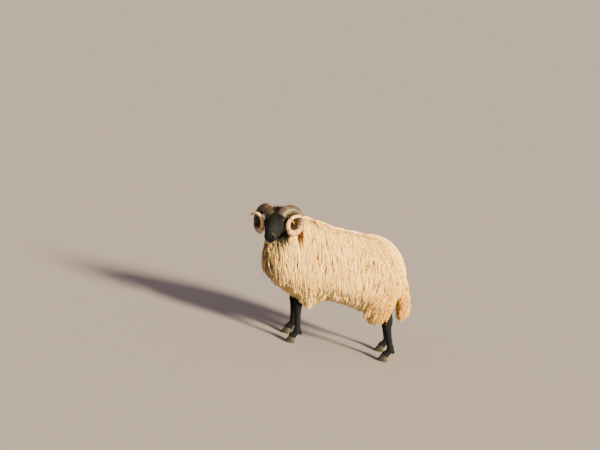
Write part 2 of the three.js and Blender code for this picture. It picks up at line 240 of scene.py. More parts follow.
def angles(sides):
    return np.arange(sides) * 2 * np.pi / sides


def drawn_in(radius, depth):
    """A radius less the coat's depth, which never takes more than its share of a small one."""
    return radius - np.minimum(depth, MOST_DRAWN_IN * np.abs(radius))


def trunk_rings(depth, rings=110, sides=96):
    u = np.linspace(0, 1, rings)
    x, top, bottom, half, square = (c[:, None] for c in along(TRUNK, u).T)
    widest = bottom + WIDEST_LEVEL * (top - bottom)
    angle = angles(sides)[None, :]
    up = np.sin(angle)
    exponent = np.where(up > 0, 2 / square, 2 / BELLY_SQUARENESS)
    reach = drawn_in(np.where(up > 0, top - widest, widest - bottom), depth)
    y = drawn_in(half, depth) * np.sign(np.cos(angle)) * np.abs(np.cos(angle)) ** exponent
    z = widest + reach * np.sign(up) * np.abs(up) ** exponent
    x = x - depth * (2 * u[:, None] - 1)
    return np.stack([x + 0 * y, y, z], -1)


def limb_rings(rows, depth=0.0, sideways=None, rings=90, sides=48):
    """Rings down a bent middle line, wide along sideways, or else level across the line."""
    u = np.linspace(0, 1, rings)
    table = along(rows, u)
    centre = table[:, :3]
    ahead = unit(along(rows, u + 0.01)[:, :3] - along(rows, u - 0.01)[:, :3])
    across = np.cross(ahead, (0, 0, 1)) if sideways is None else np.tile(sideways, (rings, 1))
    across = unit(across - ahead * np.sum(across * ahead, 1, keepdims=True))
    out = np.cross(across, ahead)
    angle = angles(sides)
    cosine, sine = np.cos(angle)[None, :, None], np.sin(angle)[None, :, None]
    half, above, below = (drawn_in(table[:, k], depth)[:, None, None] for k in (3, 4, 5))
    deep = np.where(sine > 0, above, below)
    rings_at = centre[:, None] + across[:, None] * half * cosine + out[:, None] * deep * sine
    return rings_at - ahead[:, None] * depth * (2 * u[:, None, None] - 1)


def head_rings(depth, rings=150, sides=112):
    u = np.linspace(0, 1, rings)
    x, half, above, below = (c[:, None] for c in along(HEAD, u).T)
    angle = angles(sides)[None, :]
    up = np.sin(angle)
    narrow = (1 - JAW_NARROWING * smoothstep(-up, -0.1, 1)) * (
        1 - BROW_NARROWING * smoothstep(up, 0.3, 1)
    )
    y = (half - depth) * power(np.cos(angle), HEAD_ROUNDNESS[0]) * narrow
    z = (above - below) / 2 + ((above + below) / 2 - depth) * power(up, HEAD_ROUNDNESS[1])
    return np.stack([x - depth * (2 * u[:, None] - 1) + 0 * y, y, z], -1)


def ear_rings(way, depth, rings=60, sides=40):
    u = np.linspace(0, 1, rings)
    out, half, thick, droop = (c[:, None] for c in along(EAR, u).T)
    across, through = np.cos(angles(sides))[None, :], np.sin(angles(sides))[None, :]
    x, y, z = EAR_AT
    curl = EAR_HOLLOW * half * (across**2 - 0.5)
    forward = x + EAR_FORWARD * out + curl + (thick - depth) * through
    side = y + out - depth * (2 * u[:, None] - 1) + 0 * forward
    level = z - droop + (half - depth) * across
    return np.stack([forward, -way * side, level + 0 * forward], -1)


def mirrored(rows, way):
    return [(x, way * y, *rest) for x, y, *rest in rows]


def shell(name, rings):
    """A closed mesh over rings of points in metres, with a fan over each end."""
    count, sides = rings.shape[:2]
    points = np.concatenate([rings.reshape(-1, 3), rings[[0, -1]].mean(1)])
    first, last = count * sides, count * sides + 1
    faces = []
    for r in range(count - 1):
        for k in range(sides):
            a, b = r * sides + k, r * sides + (k + 1) % sides
            faces.append((a, b, b + sides, a + sides))
    for k in range(sides):
        a, b = k, (k + 1) % sides
        faces.append((b, a, first))
        faces.append((a + (count - 1) * sides, b + (count - 1) * sides, last))
    mesh = bpy.data.meshes.new(name)
    mesh.from_pydata(points.tolist(), [], faces)
    work = bmesh.new()
    work.from_mesh(mesh)
    bmesh.ops.recalc_face_normals(work, faces=work.faces)
    work.to_mesh(mesh)
    work.free()
    made = bpy.data.objects.new(name, mesh)
    bpy.context.scene.collection.objects.link(made)
    return made


def joined(name, shells):
    bpy.ops.object.select_all(action="DESELECT")
    for made in shells:
        made.select_set(True)
    bpy.context.view_layer.objects.active = shells[0]
    bpy.ops.object.join()
    whole = bpy.context.view_layer.objects.active
    whole.name = whole.data.name = name
    return whole


def finished(made, kind, **settings):
    """Adds a modifier to an object and applies it."""
    bpy.ops.object.select_all(action="DESELECT")
    made.select_set(True)
    bpy.context.view_layer.objects.active = made
    modifier = made.modifiers.new(kind.title(), kind)
    for key, value in settings.items():
        setattr(modifier, key, value)
    bpy.ops.object.modifier_apply(modifier=modifier.name)
    return made


def woolly_shells(depth):
    side = (0, 1, 0)
    rings = [trunk_rings(depth / MM)]
    rings += [limb_rings(mirrored(THIGH, way), depth / MM, side) for way in (LEFT, RIGHT)]
    rings += [limb_rings(TAIL, depth / MM, side)]
    rings += [limb_rings(NECK_CORE if depth else NECK)]
    return [shell("wool_form", placed(r, body_frame)) for r in rings]


def ball(name, centre, radii, matrix, levels=20):
    bpy.ops.mesh.primitive_uv_sphere_add(segments=levels * 2, ring_count=levels, radius=1)
    made = bpy.context.view_layer.objects.active
    made.name = name
    size = Matrix.Diagonal((*(Vector(radii) * MM), 1))
    made.data.transform(matrix @ Matrix.Translation(Vector(centre) * MM) @ size)
    return made


forms = woolly_shells(WOOL_DEPTH)
hair = HAIR_DEPTH / MM
forms.append(shell("head_form", placed(head_rings(hair), face_frame)))
for way in (LEFT, RIGHT):
    forms.append(shell("ear_form", placed(ear_rings(way, EAR_SKIN), head_frame)))
    x, y, z = np.add(EYE_AT, BROW_FROM_EYE)
    forms.append(ball("brow_form", (x, -way * y, z), BROW_RADII, face_frame))
for x, y, rows in FEET.values():
    leg = [(x + ahead, y, z, *radii) for ahead, z, *radii in rows]
    forms.append(shell("leg_form", placed(limb_rings(leg, hair, (0, 1, 0)), body_frame)))
    for way in (LEFT, RIGHT):
        behind, aside, level = DEWCLAW_AT
        centre = (x + behind, y + way * aside, level)
        forms.append(ball("dewclaw_form", centre, DEWCLAW_RADII, body_frame, 8))
hide = joined("hide", forms)
finished(hide, "REMESH", mode="VOXEL", voxel_size=HIDE_FINENESS)
finished(hide, "SMOOTH", factor=0.5, iterations=4)


def vertices_of(made, what="co"):
    """The vertices' places, or another of their vectors, in rows."""
    flat = np.zeros(len(made.data.vertices) * 3)
    made.data.vertices.foreach_get(what, flat)
    return flat.reshape(-1, 3)


def in_frame(points, matrix):
    """Points of the scene in millimetres of a frame."""
    m = np.array(matrix.inverted())
    return (points @ m[:3, :3].T + m[:3, 3]) / MM


# The brow blends into the skull, and what the wool hides needs few faces
here = vertices_of(hide)
face = in_frame(here, face_frame)
from_eye = np.linalg.norm(np.where((False, True, False), np.abs(face), face) - EYE_AT, axis=1)
brow = hide.vertex_groups.new(name="brow")
brow.add(np.nonzero((from_eye < BROW_REACH) & (face[:, 0] > 0))[0].tolist(), 1.0, "REPLACE")
finished(hide, "SMOOTH", factor=0.5, iterations=24, vertex_group="brow")
body = in_frame(here, body_frame)
skull_at = np.array(face_frame @ SKULL_MIDDLE)
bare_head = smoothstep(face[:, 0], -50, -20) * (np.abs(face[:, 1]) < 150) * (face[:, 2] > -190)
bare_head = (bare_head > 0.1) & (np.linalg.norm(here - skull_at, axis=1) < SKULL_REACH)
bare_leg = np.zeros(len(here), bool)
for x, y, _ in FEET.values():
    bare_leg |= (np.hypot(body[:, 0] - x, body[:, 1] - y) < 75) & (body[:, 2] < 300)
covered = hide.vertex_groups.new(name="covered")
covered.add(np.nonzero(~(bare_head | bare_leg))[0].tolist(), 1.0, "REPLACE")
finished(hide, "DECIMATE", ratio=0.2, vertex_group="covered", vertex_group_factor=1.0)
hide.vertex_groups.clear()


# Lids, nostrils and lips need finer faces than the brow and cheek
MOUTH_LEVEL = -43
MOUTH_RISE = 0.14
MOUTH_FRONT = 228
EYE_LOOK = (0.2, 0.95, 0.24)
EYE_SLIT = (1, 0, 0.3)
NOSTRIL_AT = (229, 18, -6)
NOSTRIL_LOOK = (0.72, 0.42, 0.5)
NOSTRIL_SLIT = (-0.42, 0.8, 0.25)


def local_frame(way, at, look, slit):
    """A frame on one side of the face: x along a slit, z out of the face."""
    origin = Vector((at[0], -way * at[1], at[2])) * MM
    out = Vector((look[0], -way * look[1], look[2])).normalized()
    level = Vector((slit[0], -way * slit[1], slit[2]))
    level = (level - out * level.dot(out)).normalized()
    turn = Matrix((level, out.cross(level), out)).transposed().to_4x4()
    return face_frame @ Matrix.Translation(origin) @ turn


eye_frames = {way: local_frame(way, EYE_AT, EYE_LOOK, EYE_SLIT) for way in (LEFT, RIGHT)}
nostrils = {way: local_frame(way, NOSTRIL_AT, NOSTRIL_LOOK, NOSTRIL_SLIT) for way in (LEFT, RIGHT)}


def refine(made, places):
    """Halves the edges that lie wholly within reach, in metres, of the places."""
    work = bmesh.new()
    work.from_mesh(made.data)
    picked = [
        edge
        for edge in work.edges
        if any(all((v.co - at).length < reach for v in edge.verts) for at, reach in places)
    ]
    bmesh.ops.subdivide_edges(work, edges=picked, cuts=1, use_grid_fill=True)
    work.to_mesh(made.data)
    work.free()


muzzle_at = face_frame @ MUZZLE_MIDDLE
eyes_at = [eye_frame.translation for eye_frame in eye_frames.values()]
nostrils_at = [nostril.translation for nostril in nostrils.values()]
refine(hide, [(at, LID_REACHES[0]) for at in eyes_at] + [(muzzle_at, MUZZLE_REACH)])
refine(hide, [(at, LID_REACHES[1]) for at in eyes_at] + [(at, NOSTRIL_REACH) for at in nostrils_at])


def bell(value, width):
    return np.exp(-((value / width) ** 2))


def move(made, points):
    made.data.vertices.foreach_set("co", points.ravel())
    made.data.update()


# Forms of the skull and the flesh on it, as pushes in millimetres along the surface's normal
points = vertices_of(hide)
out = vertices_of(hide, "normal")
x, y, z = in_frame(points, face_frame).T
side = np.abs(y)
mouth = MOUTH_LEVEL + MOUTH_RISE * (x - MOUTH_FRONT)
open_lips = smoothstep(x, 176, 192)
jaw_muscle = 4.0 * bell(np.hypot(np.hypot(x - 52, z + 88), (side - 50) * 0.6), 34)
cheekbone = 1.8 * bell(z + 26 + 0.12 * (x - 110), 8) * bell(x - 118, 34) * (side > 25)
nose_hollow = 2.6 * bell(np.hypot(x - 140, (z - 6) * 1.3), 20) * (side > 22)
cheek_hollow = 2.0 * bell(np.hypot(x - 150, (z + 58) * 1.1), 22) * (side > 18)
nostril_wing = 1.5 * bell(np.hypot((x - 210) * 0.8, z + 22), 16) * (side > 20)
lips_parting = 4.2 * bell(z - mouth, 1.5) * open_lips
upper_lip = 1.3 * bell(z - mouth - 5, 3.4) * open_lips
lower_lip = 0.8 * bell(z - mouth + 4.5, 3.0) * open_lips
mouth_corner = 2.0 * bell(np.hypot(x - 175, z - mouth), 5)
lip_cleft = 2.4 * bell(y, 1.7) * smoothstep(x, 224, 232) * smoothstep(z, mouth, mouth + 6) * (z < -6)
push = jaw_muscle + cheekbone - nose_hollow - cheek_hollow + nostril_wing
push = push - lips_parting + upper_lip + lower_lip - mouth_corner - lip_cleft
on_head = (x > -30) & (side < 75) & (z > -160) & (z < 60)
points += out * (push * on_head * MM)[:, None]
move(hide, points)

# Nostrils, as commas with a soft rim
NOSTRIL_HALF = (12.5, 3.6)
NOSTRIL_BEND = 0.018
NOSTRIL_DEPTH = 9.5
NOSTRIL_RIM = 1.3
for matrix in nostrils.values():
    a, b, c = in_frame(points, matrix).T
    ring = np.hypot(a / NOSTRIL_HALF[0], (b - NOSTRIL_BEND * a**2 + 1.0) / NOSTRIL_HALF[1])
    near = (np.hypot(a, b) < 24) & (c > -12) & (c < 14)
    deep = -NOSTRIL_DEPTH * (1 - smoothstep(ring, 0.5, 1.05)) + NOSTRIL_RIM * bell(ring - 1.35, 0.32)
    points += np.array(matrix.to_3x3())[:, 2] * (deep * near * MM)[:, None]

# Lids: a thin shell over the eyeball, parted by an almond, with a fold above and a bag below
LID = 1.7
LID_FOLD = 0.9
LID_BAG = 0.6
LID_RIM = 0.5
SLIT_HALF = 12.8
UPPER_RISE, LOWER_RISE = 8.4, 6.0


def beyond_arc(a, b, rise):
    """How far each place lies beyond the arc of a lid's edge."""
    radius = (SLIT_HALF**2 + rise**2) / (2 * abs(rise))
    return np.hypot(a, b - (rise - math.copysign(radius, rise))) - radius


for matrix in eye_frames.values():
    a, b, c = in_frame(points, matrix).T
    apart = np.hypot(a, b)
    near = (apart < 30) & (c > -9) & (c < 24)
    eyeball = np.sqrt(np.maximum(EYE_RADIUS**2 - apart**2, 0))
    over = np.sqrt(np.maximum((EYE_RADIUS + LID) ** 2 - apart**2, 0))
    edge = np.maximum(beyond_arc(a, b, UPPER_RISE), beyond_arc(a, b, -LOWER_RISE))
    lid = over + (c - over) * smoothstep(edge, 1.5, 11)
    lid -= LID_FOLD * bell(edge - 5.2, 1.0) * (b > 0) + LID_BAG * bell(edge - 6.0, 1.3) * (b <= 0)
    lid += LID_RIM * bell(edge - 0.8, 1.0)
    inside = smoothstep(-edge, 0.1, 1.3)
    level = lid * (1 - inside) + (eyeball - 3.5) * inside
    points += np.array(matrix.to_3x3())[:, 2] * ((level - c) * near * MM)[:, None]
move(hide, points)


def head_shape(face):
    """Under 1 within the black hair of the head, in millimetres of the face's frame."""
    return np.linalg.norm((face - (85, 0, -50)) / (165, 96, 120), axis=1)


def marked(made, name, values):
    """A number for each vertex, that the material reads by name."""
    attribute = made.data.attributes.new(name, "FLOAT", "POINT")
    attribute.data.foreach_set("value", np.asarray(values, np.float32))


face = in_frame(points, face_frame)
ahead, side, up = in_frame(points, head_frame).T
side = np.abs(side)
on_ear = (side > 50) & (ahead > -60) & (ahead < 45) & (np.abs(up + 75) < 42)
bare_nose = smoothstep(face[:, 0], 205, 226) * (np.abs(face[:, 1]) < 60) * (face[:, 2] > -90)
marked(hide, "bare_nose", bare_nose)
ear_front = on_ear * smoothstep(vertices_of(hide, "normal") @ np.array(head_frame)[:3, 0], 0.1, 0.6)
marked(hide, "ear_front", ear_front * smoothstep(side, 80, 110))


class Wire:
    """A socket of a material's nodes, so that shader sums are written as plain sums."""

    def __init__(self, tree, socket):
        self.tree, self.socket = tree, socket

    def node(self, kind, settings=None, output=0, **inputs):
        """Adds a node, sets it up, feeds its sockets, and gives one of its outputs."""
        made = self.tree.nodes.new(kind)
        for key, value in (settings or {}).items():
            setattr(made, key, value)
        for key, value in inputs.items():
            numbered = key[0] == "i" and key[1:].isdigit()
            feed(self.tree, made.inputs[int(key[1:]) if numbered else key.replace("_", " ")], value)
        return Wire(self.tree, made.outputs[output])

    def sum(self, operation, *values):
        inputs = {f"i{k}": v for k, v in enumerate(values)}
        return self.node("ShaderNodeMath", {"operation": operation}, **inputs)

    def __add__(self, other):
        return self.sum("ADD", self, other)

    def __radd__(self, other):
        return self.sum("ADD", other, self)

    def __sub__(self, other):
        return self.sum("SUBTRACT", self, other)

    def __rsub__(self, other):
        return self.sum("SUBTRACT", other, self)

    def __mul__(self, other):
        return self.sum("MULTIPLY", self, other)

    def __rmul__(self, other):
        return self.sum("MULTIPLY", other, self)

    def __pow__(self, other):
        return self.sum("POWER", self, other)

    def ramp(self, low, high):
        """0 below low, 1 above high, smooth between."""
        settings = {"interpolation_type": "SMOOTHSTEP"}
        return self.node("ShaderNodeMapRange", settings, Value=self, From_Min=low, From_Max=high)

    def mix(self, first, second):
        """From the first colour to the second as this goes from 0 to 1."""
        settings = {"data_type": "RGBA"}
        sides = {f"i{k}": v if isinstance(v, Wire) else (*v, 1) for k, v in ((6, first), (7, second))}
        return self.node("ShaderNodeMix", settings, 2, i0=self, **sides)

    def noise(self, scale, detail=3.0, roughness=0.5):
        """Noise over these coordinates."""
        inputs = {"Scale": scale, "Detail": detail, "Roughness": roughness}
        return self.node("ShaderNodeTexNoise", Vector=self, **inputs)

    def mapped(self, scale):
        return self.node("ShaderNodeMapping", Vector=self, Scale=scale)


def feed(tree, socket, value):
    """Links a wire to a socket, or sets the socket's own value."""
    if isinstance(value, Wire):
        tree.links.new(value.socket, socket)
    else:
        socket.default_value = value


def new_material(name):
    """A material, its object coordinates, its reader of marks, and a way to set its shader."""
    material = bpy.data.materials.new(name)
    material.use_nodes = True
    tree = material.node_tree
    shader = tree.nodes["Principled BSDF"]
    start = Wire(tree, None)
    where = start.node("ShaderNodeTexCoord", None, "Object")

    def mark(title):
        return start.node("ShaderNodeAttribute", {"attribute_name": title}, "Fac")

    def finish(bump=None, height=0.001, strength=1.0, **inputs):
        if bump is not None:
            sides = {"Height": bump, "Distance": height, "Strength": strength}
            inputs["Normal"] = bump.node("ShaderNodeBump", **sides)
        for key, value in inputs.items():
            feed(tree, shader.inputs[key.replace("_", " ")], value)

    return material, where, mark, finish


def dressed(made, material, slot, *replaced):
    """Gives a piece its material and body, and hides the solids that it stands for. The slot is not used.
    """
    made.data.materials.clear()
    made.data.materials.append(material)
    made.data.polygons.foreach_set("use_smooth", [True] * len(made.data.polygons))
    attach(made, "root")
    if replaced:
        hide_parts(*replaced)


HAIR_BLACK = (0.0016, 0.0028, 0.0066)
HAIR_SUNNED = (0.0046, 0.0066, 0.0120)
NOSE_SKIN = (0.0035, 0.0042, 0.0065)
EAR_LINING = (0.045, 0.030, 0.024)
# Painted shade: the wool's colour darkened as if deep inside the fleece, for the skin under it and the
# roots of its locks
WOOL_PAINTED_SHADE = (0.66, 0.42, 0.17)
HAIR_ROUGHNESS = 0.84
NOSE_ROUGHNESS = 0.50

hide_material, where, mark, finish = new_material("short black hair over hide")
strands = where.mapped((700, 700, 120)).noise(1.0, 4.0, 0.6)
patches = where.noise(16.0, 3.0)
pores = where.noise(900.0, 2.0)
tone = patches.ramp(0.45, 0.75).mix(HAIR_BLACK, HAIR_SUNNED)
tone = mark("bare_nose").mix(tone, NOSE_SKIN)
tone = (mark("ear_front") * (0.6 + patches * 0.5)).mix(tone, EAR_LINING)
finish(
    bump=strands * (1 - mark("bare_nose")) + pores * 0.35,
    height=0.0009,
    strength=0.8,
    # Where wool covers the skin, the skin takes the wool's painted shade
    Base_Color=mark("woolly").mix(tone, WOOL_PAINTED_SHADE),
    Roughness=mark("bare_nose").ramp(0, 1) * (NOSE_ROUGHNESS - HAIR_ROUGHNESS) + HAIR_ROUGHNESS,
    Specular_IOR_Level=0.16,
)
flesh = ["trunk", "neck", "tail", "head", "thigh_left", "thigh_right", "ear_left", "ear_right"]
dressed(hide, hide_material, "hair", *flesh, *(f"leg_{corner}" for corner in FEET))


# ---------------------------------------------------------------------------------------------
# The eyes: glass balls set under the lids, amber with a dark level bar for a pupil, and a
# clear wet front that bulges a little.
AMBER = (0.085, 0.042, 0.011)
IRIS_RIM = (0.030, 0.014, 0.005)
PUPIL = (0.004, 0.004, 0.006)
PUPIL_HALF = (5.6, 1.9)
IRIS_RADIUS = 9.8
EYE_WHITE = (0.03, 0.022, 0.018)
FRONT_BULGE = 0.9
FRONT_RADIUS = 8.5

eye_material, where, mark, finish = new_material("amber eye")
level_way, upright_way = mark("level_way"), mark("upright_way")
from_middle = (level_way * level_way + upright_way * upright_way) ** 0.5
bar = ((level_way * (1 / PUPIL_HALF[0])) ** 4.0 + (upright_way * (1 / PUPIL_HALF[1])) ** 4.0) ** 0.25
threads = where.noise(900.0, 3.0)
iris = (from_middle * (1 / IRIS_RADIUS) + threads * 0.25).ramp(0.55, 1.15).mix(AMBER, IRIS_RIM)
white = from_middle.ramp(IRIS_RADIUS - 0.4, IRIS_RADIUS + 0.5).mix(iris, EYE_WHITE)
finish(
    Base_Color=bar.ramp(0.9, 1.1).mix(PUPIL, white),
    Roughness=0.06,
    Coat_Weight=1.0,
    Coat_Roughness=0.03,
)
for side_name, way in (("left", LEFT), ("right", RIGHT)):
    matrix = eye_frames[way]
    bpy.ops.object.select_all(action="DESELECT")
    eye = ball(f"eyeball_{side_name}", (0, 0, 0), (EYE_RADIUS,) * 3, matrix, 32)
    spots = vertices_of(eye)
    a, b, c = in_frame(spots, matrix).T
    bulge = FRONT_BULGE * bell(np.hypot(a, b), FRONT_RADIUS) * (c > 0)
    move(eye, spots + np.array(matrix.to_3x3())[:, 2] * (bulge * MM)[:, None])
    marked(eye, "level_way", a)
    marked(eye, "upright_way", b)
    dressed(eye, eye_material, "eye", f"eye_{side_name}")


# ---------------------------------------------------------------------------------------------
# The horns: hollow keratin sheaths over bony cores, ringed by each year's growth, rough and
# grey at the root, pale and worn smooth towards the tip.
HORN_TURNS = 1.28
HORN_ROOT_RADIUS = 37
HORN_TIP_RADIUS = 6
HORN_COIL_RADIUS = 57
HORN_ROOT_SWING = 98
HORN_COIL_AT = (-8, 124, -66)
HORN_AXIS_TURN = 50
HORN_START = 144
HORN_TIGHTENING = 0.28
HORN_TAPER = 0.85
HORN_ADVANCE = 60
HORN_SET_BACK = 0.78
HORN_FLARE = 40
HORN_FLARE_SPAN = (0.7, 1.15)
HORN_FLATNESS = 0.9
HORN_KEELS = 0.07
HORN_RINGS = 62
HORN_RING_DEPTH = 1.5
HORN_PLUG = ((26, 0.45), (17, 0.78), (8, 0.95))  # how far into the skull, share of the root's radius


def horn_line(u, way):
    """The middle line of a horn at each u, in the head's frame, in millimetres."""
    u = np.clip(u, 0, 1)
    turn = math.radians(HORN_AXIS_TURN)
    axis = np.array((math.cos(turn), -way * math.sin(turn), 0))
    back = np.array((-math.sin(turn), -way * math.cos(turn), 0))
    angle = math.radians(HORN_START) - 2 * np.pi * HORN_TURNS * u
    closing = np.exp(-((u / HORN_TIGHTENING) ** 2))
    swing = HORN_COIL_RADIUS + (HORN_ROOT_SWING - HORN_COIL_RADIUS) * closing
    advance = HORN_ADVANCE * (u**HORN_TAPER - HORN_SET_BACK)
    advance = advance + HORN_FLARE * smoothstep(u, *HORN_FLARE_SPAN)
    x, y, z = HORN_COIL_AT
    line = np.array((x, -way * y, z)) + np.outer(swing * np.cos(angle), back)
    line = line + np.outer(advance, axis)
    line[:, 2] += swing * np.sin(angle)
    return line, axis


def horn_rings(way, rings=420, sides=30):
    u = np.linspace(0, 1, rings)
    line, axis = horn_line(u, way)
    ahead = unit(horn_line(u + 0.004, way)[0] - horn_line(u - 0.004, way)[0])
    outward = unit(axis - ahead * (ahead @ axis)[:, None])
    keel = np.cross(outward, ahead)
    radius = HORN_ROOT_RADIUS + (HORN_TIP_RADIUS - HORN_ROOT_RADIUS) * u**HORN_TAPER
    angle = angles(sides)
    turns = HORN_RINGS * u**0.92
    wander = 0.35 * np.sin(2 * angle[None, :] + 0.7 * turns[:, None]) + 0.2 * np.sin(3.3 * turns)[:, None]
    phase = 2 * np.pi * turns[:, None] + wander
    uneven = 0.3 + 0.7 * (np.sin(12.9898 * np.floor(turns + 0.5)) * 43.7 % 1)
    groove = (1 - np.abs(np.cos(phase / 2)) ** 1.6) * uneven[:, None]
    years = bell((turns[:, None] + wander / 6) % 9.0 - 4.5, 0.8)
    fade = (1 - u[:, None]) ** 0.6
    cut = HORN_RING_DEPTH * fade * (groove * 0.8 + years * 0.9)
    edge = radius[:, None] * (1 + HORN_KEELS * np.cos(3 * angle))[None, :] - cut + 0.6
    edge *= np.sqrt(1 - 0.97 * np.clip((u - 0.978) / 0.022, 0, 1) ** 2)[:, None]
    points = line[:, None] + outward[:, None] * (HORN_FLATNESS * edge * np.cos(angle))[..., None]
    points = points + keel[:, None] * (edge * np.sin(angle))[..., None]
    plug = [line[0] - ahead[0] * back + (points[0] - line[0]) * size for back, size in HORN_PLUG]
    points = np.concatenate([plug, points])
    flush = np.zeros(len(HORN_PLUG) * sides)
    return points, np.append(flush, np.repeat(u, sides)), np.append(flush, (groove + years).ravel())


HORN_ROOT_GREY = (0.031, 0.026, 0.027)
# Painted shade: the right horn's root, turned from the light, is painted nearly black, darker than the
# left horn's grey root
HORN_ROOT_PAINTED_SHADE = (0.013, 0.009, 0.008)  # of the right horn, nearly black at its root
HORN_BAND = (0.38, 0.24, 0.14)
HORN_PALE = (0.62, 0.44, 0.27)
HORN_GROOVE = (0.11, 0.066, 0.040)

horn_material, where, mark, finish = new_material("ringed horn")
up_horn, stained = mark("along"), mark("stained")
stain = where.noise(28.0, 4.0, 0.6)
grain = where.noise(420.0, 4.0, 0.6)
# The right horn's root takes the painted shade, which also reaches a little further up that horn
root = stained.mix(HORN_ROOT_GREY, HORN_ROOT_PAINTED_SHADE)
band = (up_horn + stain * 0.16 - stained * 0.16).ramp(0.25, 0.55).mix(root, HORN_BAND)
pale = (up_horn + stain * 0.2).ramp(0.5, 0.95).mix(band, HORN_PALE)
finish(
    bump=grain + stain * 0.5,
    height=0.0006,
    strength=0.6,
    Base_Color=(mark("groove") * 0.45 + grain * 0.3 + stain * 0.15).ramp(0.3, 0.95).mix(pale, HORN_GROOVE),
    Roughness=grain * 0.25 + 0.38,
)
for side_name, way in (("left", LEFT), ("right", RIGHT)):
    rings, along_horn, grooves = horn_rings(way)
    horn = shell(f"ringed_horn_{side_name}", placed(rings, head_frame))
    marked(horn, "along", np.append(along_horn, (0, 1)))
    marked(horn, "groove", np.append(grooves, (0, 0)))
    # The right horn is marked for the painted shade on its root
    marked(horn, "stained", np.full(len(horn.data.vertices), float(way == RIGHT)))
    dressed(horn, horn_material, "horn", f"horn_{side_name}")


# ---------------------------------------------------------------------------------------------
# The claws: two to a foot, dark keratin with fine level growth lines, worn flat on the floor.
CLAW = [(0, -37, 29, 15), (9, -35, 28, 15), (27, -25, 26, 14), (46, -15, 22, 12)]
CLAW_APART = 13.5
CLAW_AHEAD = 27
CLAW_INNER_WALL = 0.72
TOE_NARROWING = 0.22
GROWTH_LINE = 0.25
SOLE_BEVEL = 1.2
CLAW_DARK = (0.009, 0.0078, 0.0072)
CLAW_WORN = (0.030, 0.023, 0.018)


def claw_rings(x, y, way, rings=34, sides=44):
    u = np.linspace(0, 1, rings)
    z, toe, heel, half = (c[:, None] for c in along(CLAW, u).T)
    angle = angles(sides)[None, :]
    sine, cosine = np.sin(angle), np.cos(angle)
    wall = np.where(sine * way > 0, 1, CLAW_INNER_WALL)
    narrow = 1 - TOE_NARROWING * np.maximum(0, -cosine)
    lines = GROWTH_LINE * np.sin(z * 1.9) * smoothstep(z, 2, 8)
    bevel = SOLE_BEVEL * (1 - smoothstep(z, 0, 2.5))
    ahead = (toe + heel) / 2 + ((heel - toe) / 2 + lines - bevel) * cosine
    across = (half + lines - bevel) * wall * narrow * power(sine, 0.75)
    return np.stack([x - CLAW_AHEAD + ahead, y + way * CLAW_APART + across, z + 0 * ahead], -1)


claw_material, where, mark, finish = new_material("dark claw")
layers = where.mapped((60, 60, 900)).noise(1.0, 3.0)
scuffs = where.noise(140.0, 4.0, 0.6)
finish(
    bump=layers + scuffs * 0.4,
    height=0.0004,
    strength=0.7,
    Base_Color=(layers * 0.5 + scuffs * 0.5).ramp(0.3, 0.75).mix(CLAW_DARK, CLAW_WORN),
    Roughness=scuffs * 0.3 + 0.38,
)
for corner, (x, y, _) in FEET.items():
    outward = 1 if y > 0 else -1
    for name, way in (("outer", outward), ("inner", -outward)):
        claw = shell(f"hoof_{corner}_{name}", placed(claw_rings(x, y, way), body_frame))
        dressed(claw, claw_material, "hoof", f"claw_{corner}_{name}")


# ---------------------------------------------------------------------------------------------
# The fleece: long coarse wool that parts along the back and hangs in staples of fine locks,
# nearly straight on the flanks, shorter and curled over the thighs and tail.
STAPLES_APART = 14.5 * MM
STAPLES_TRIED = 60000
PARTING_TRIED = 8000
STAPLE_STEPS = 12  # points along each staple's own line
FLANK_STAPLE = 220  # how long a staple is, in millimetres
BACK_SHORTER = 40
THIGH_SHORTER = 115
NECK_SHORTER = 80
TAIL_STAPLE = 82
BELLY_STAPLE = 70
ROOT_DEPTH = 40  # how far inside the outline a staple starts
TAIL_ROOT_DEPTH = 18
NAPE_WHORL = (-497, -25, 824)  # where the wool parts on the crook of the neck
PARTING_HALF = 0.09  # metres to each side of the back, where more staples grow
HORN_CLEARANCE = 5 * MM
LOCK_TAPER = ((0, 0.2, 0.5, 0.8, 1), (0.7, 1, 1, 0.62, 0.1))  # down a lock, share of its radius
LOCK_RADIUS = (1.9, 3.3)
LOCK_SPREAD = (11, 6)  # across and through a staple
LOCK_FLATNESS = 0.5
LOCK_START = 0.15  # the farthest down a staple that a lock starts
LOCK_END = 0.62  # the least share of a staple that a lock reaches
LOCK_GATHER = (0.1, 0.65)  # how far locks draw together at their tips
LOCK_TURNS = (0.6, 1.2)
LOCK_SWAY = 1.3
CURL_GATHER = 0.8  # of the crimped wool, and the same for its turns and sway
CURL_TURNS = 1.3
CURL_SWAY = 4.4
TAIL_SWAY = 1.8
STRAY_SHARE = 0.18
STRAY_RADIUS = 0.9
STRAY_RISE = 5
BAKE_PATCH = 0.003
WOOL_CREAM = (0.94, 0.68, 0.25)
WOOL_PALE = (0.96, 0.78, 0.37)
WOOL_GOLD = (0.86, 0.55, 0.16)
WOOL_BROWN = (0.66, 0.35, 0.05)
# Dark grey strands, spread wider as painted shade on the chest front
WOOL_GREY_AND_SHADE = (0.105, 0.085, 0.072)

random = np.random.default_rng(7)


def surface_of(made):
    return BVHTree.FromObject(made, bpy.context.evaluated_depsgraph_get())


envelope = joined("wool_outline", woolly_shells(0))
finished(envelope, "REMESH", mode="VOXEL", voxel_size=8 * MM)
finished(envelope, "SMOOTH", factor=0.5, iterations=6)
outline = surface_of(envelope)
horn_surfaces = []
for way in (LEFT, RIGHT):
    guard = shell("horn_guard", placed(horn_rings(way, 90, 12)[0], head_frame))
    horn_surfaces.append(surface_of(guard))
    bpy.data.objects.remove(guard)


def nearest(surface, spots):
    """The nearest surface point and normal to each spot."""
    found = [surface.find_nearest(spot) for spot in spots]
    return np.array([f[0] for f in found]), np.array([f[1] for f in found])


def depth_in(surface, spots):
    """How deep each spot lies inside a closed surface, negative outside."""
    at, out = nearest(surface, spots)
    return np.sum((at - spots) * out, 1)


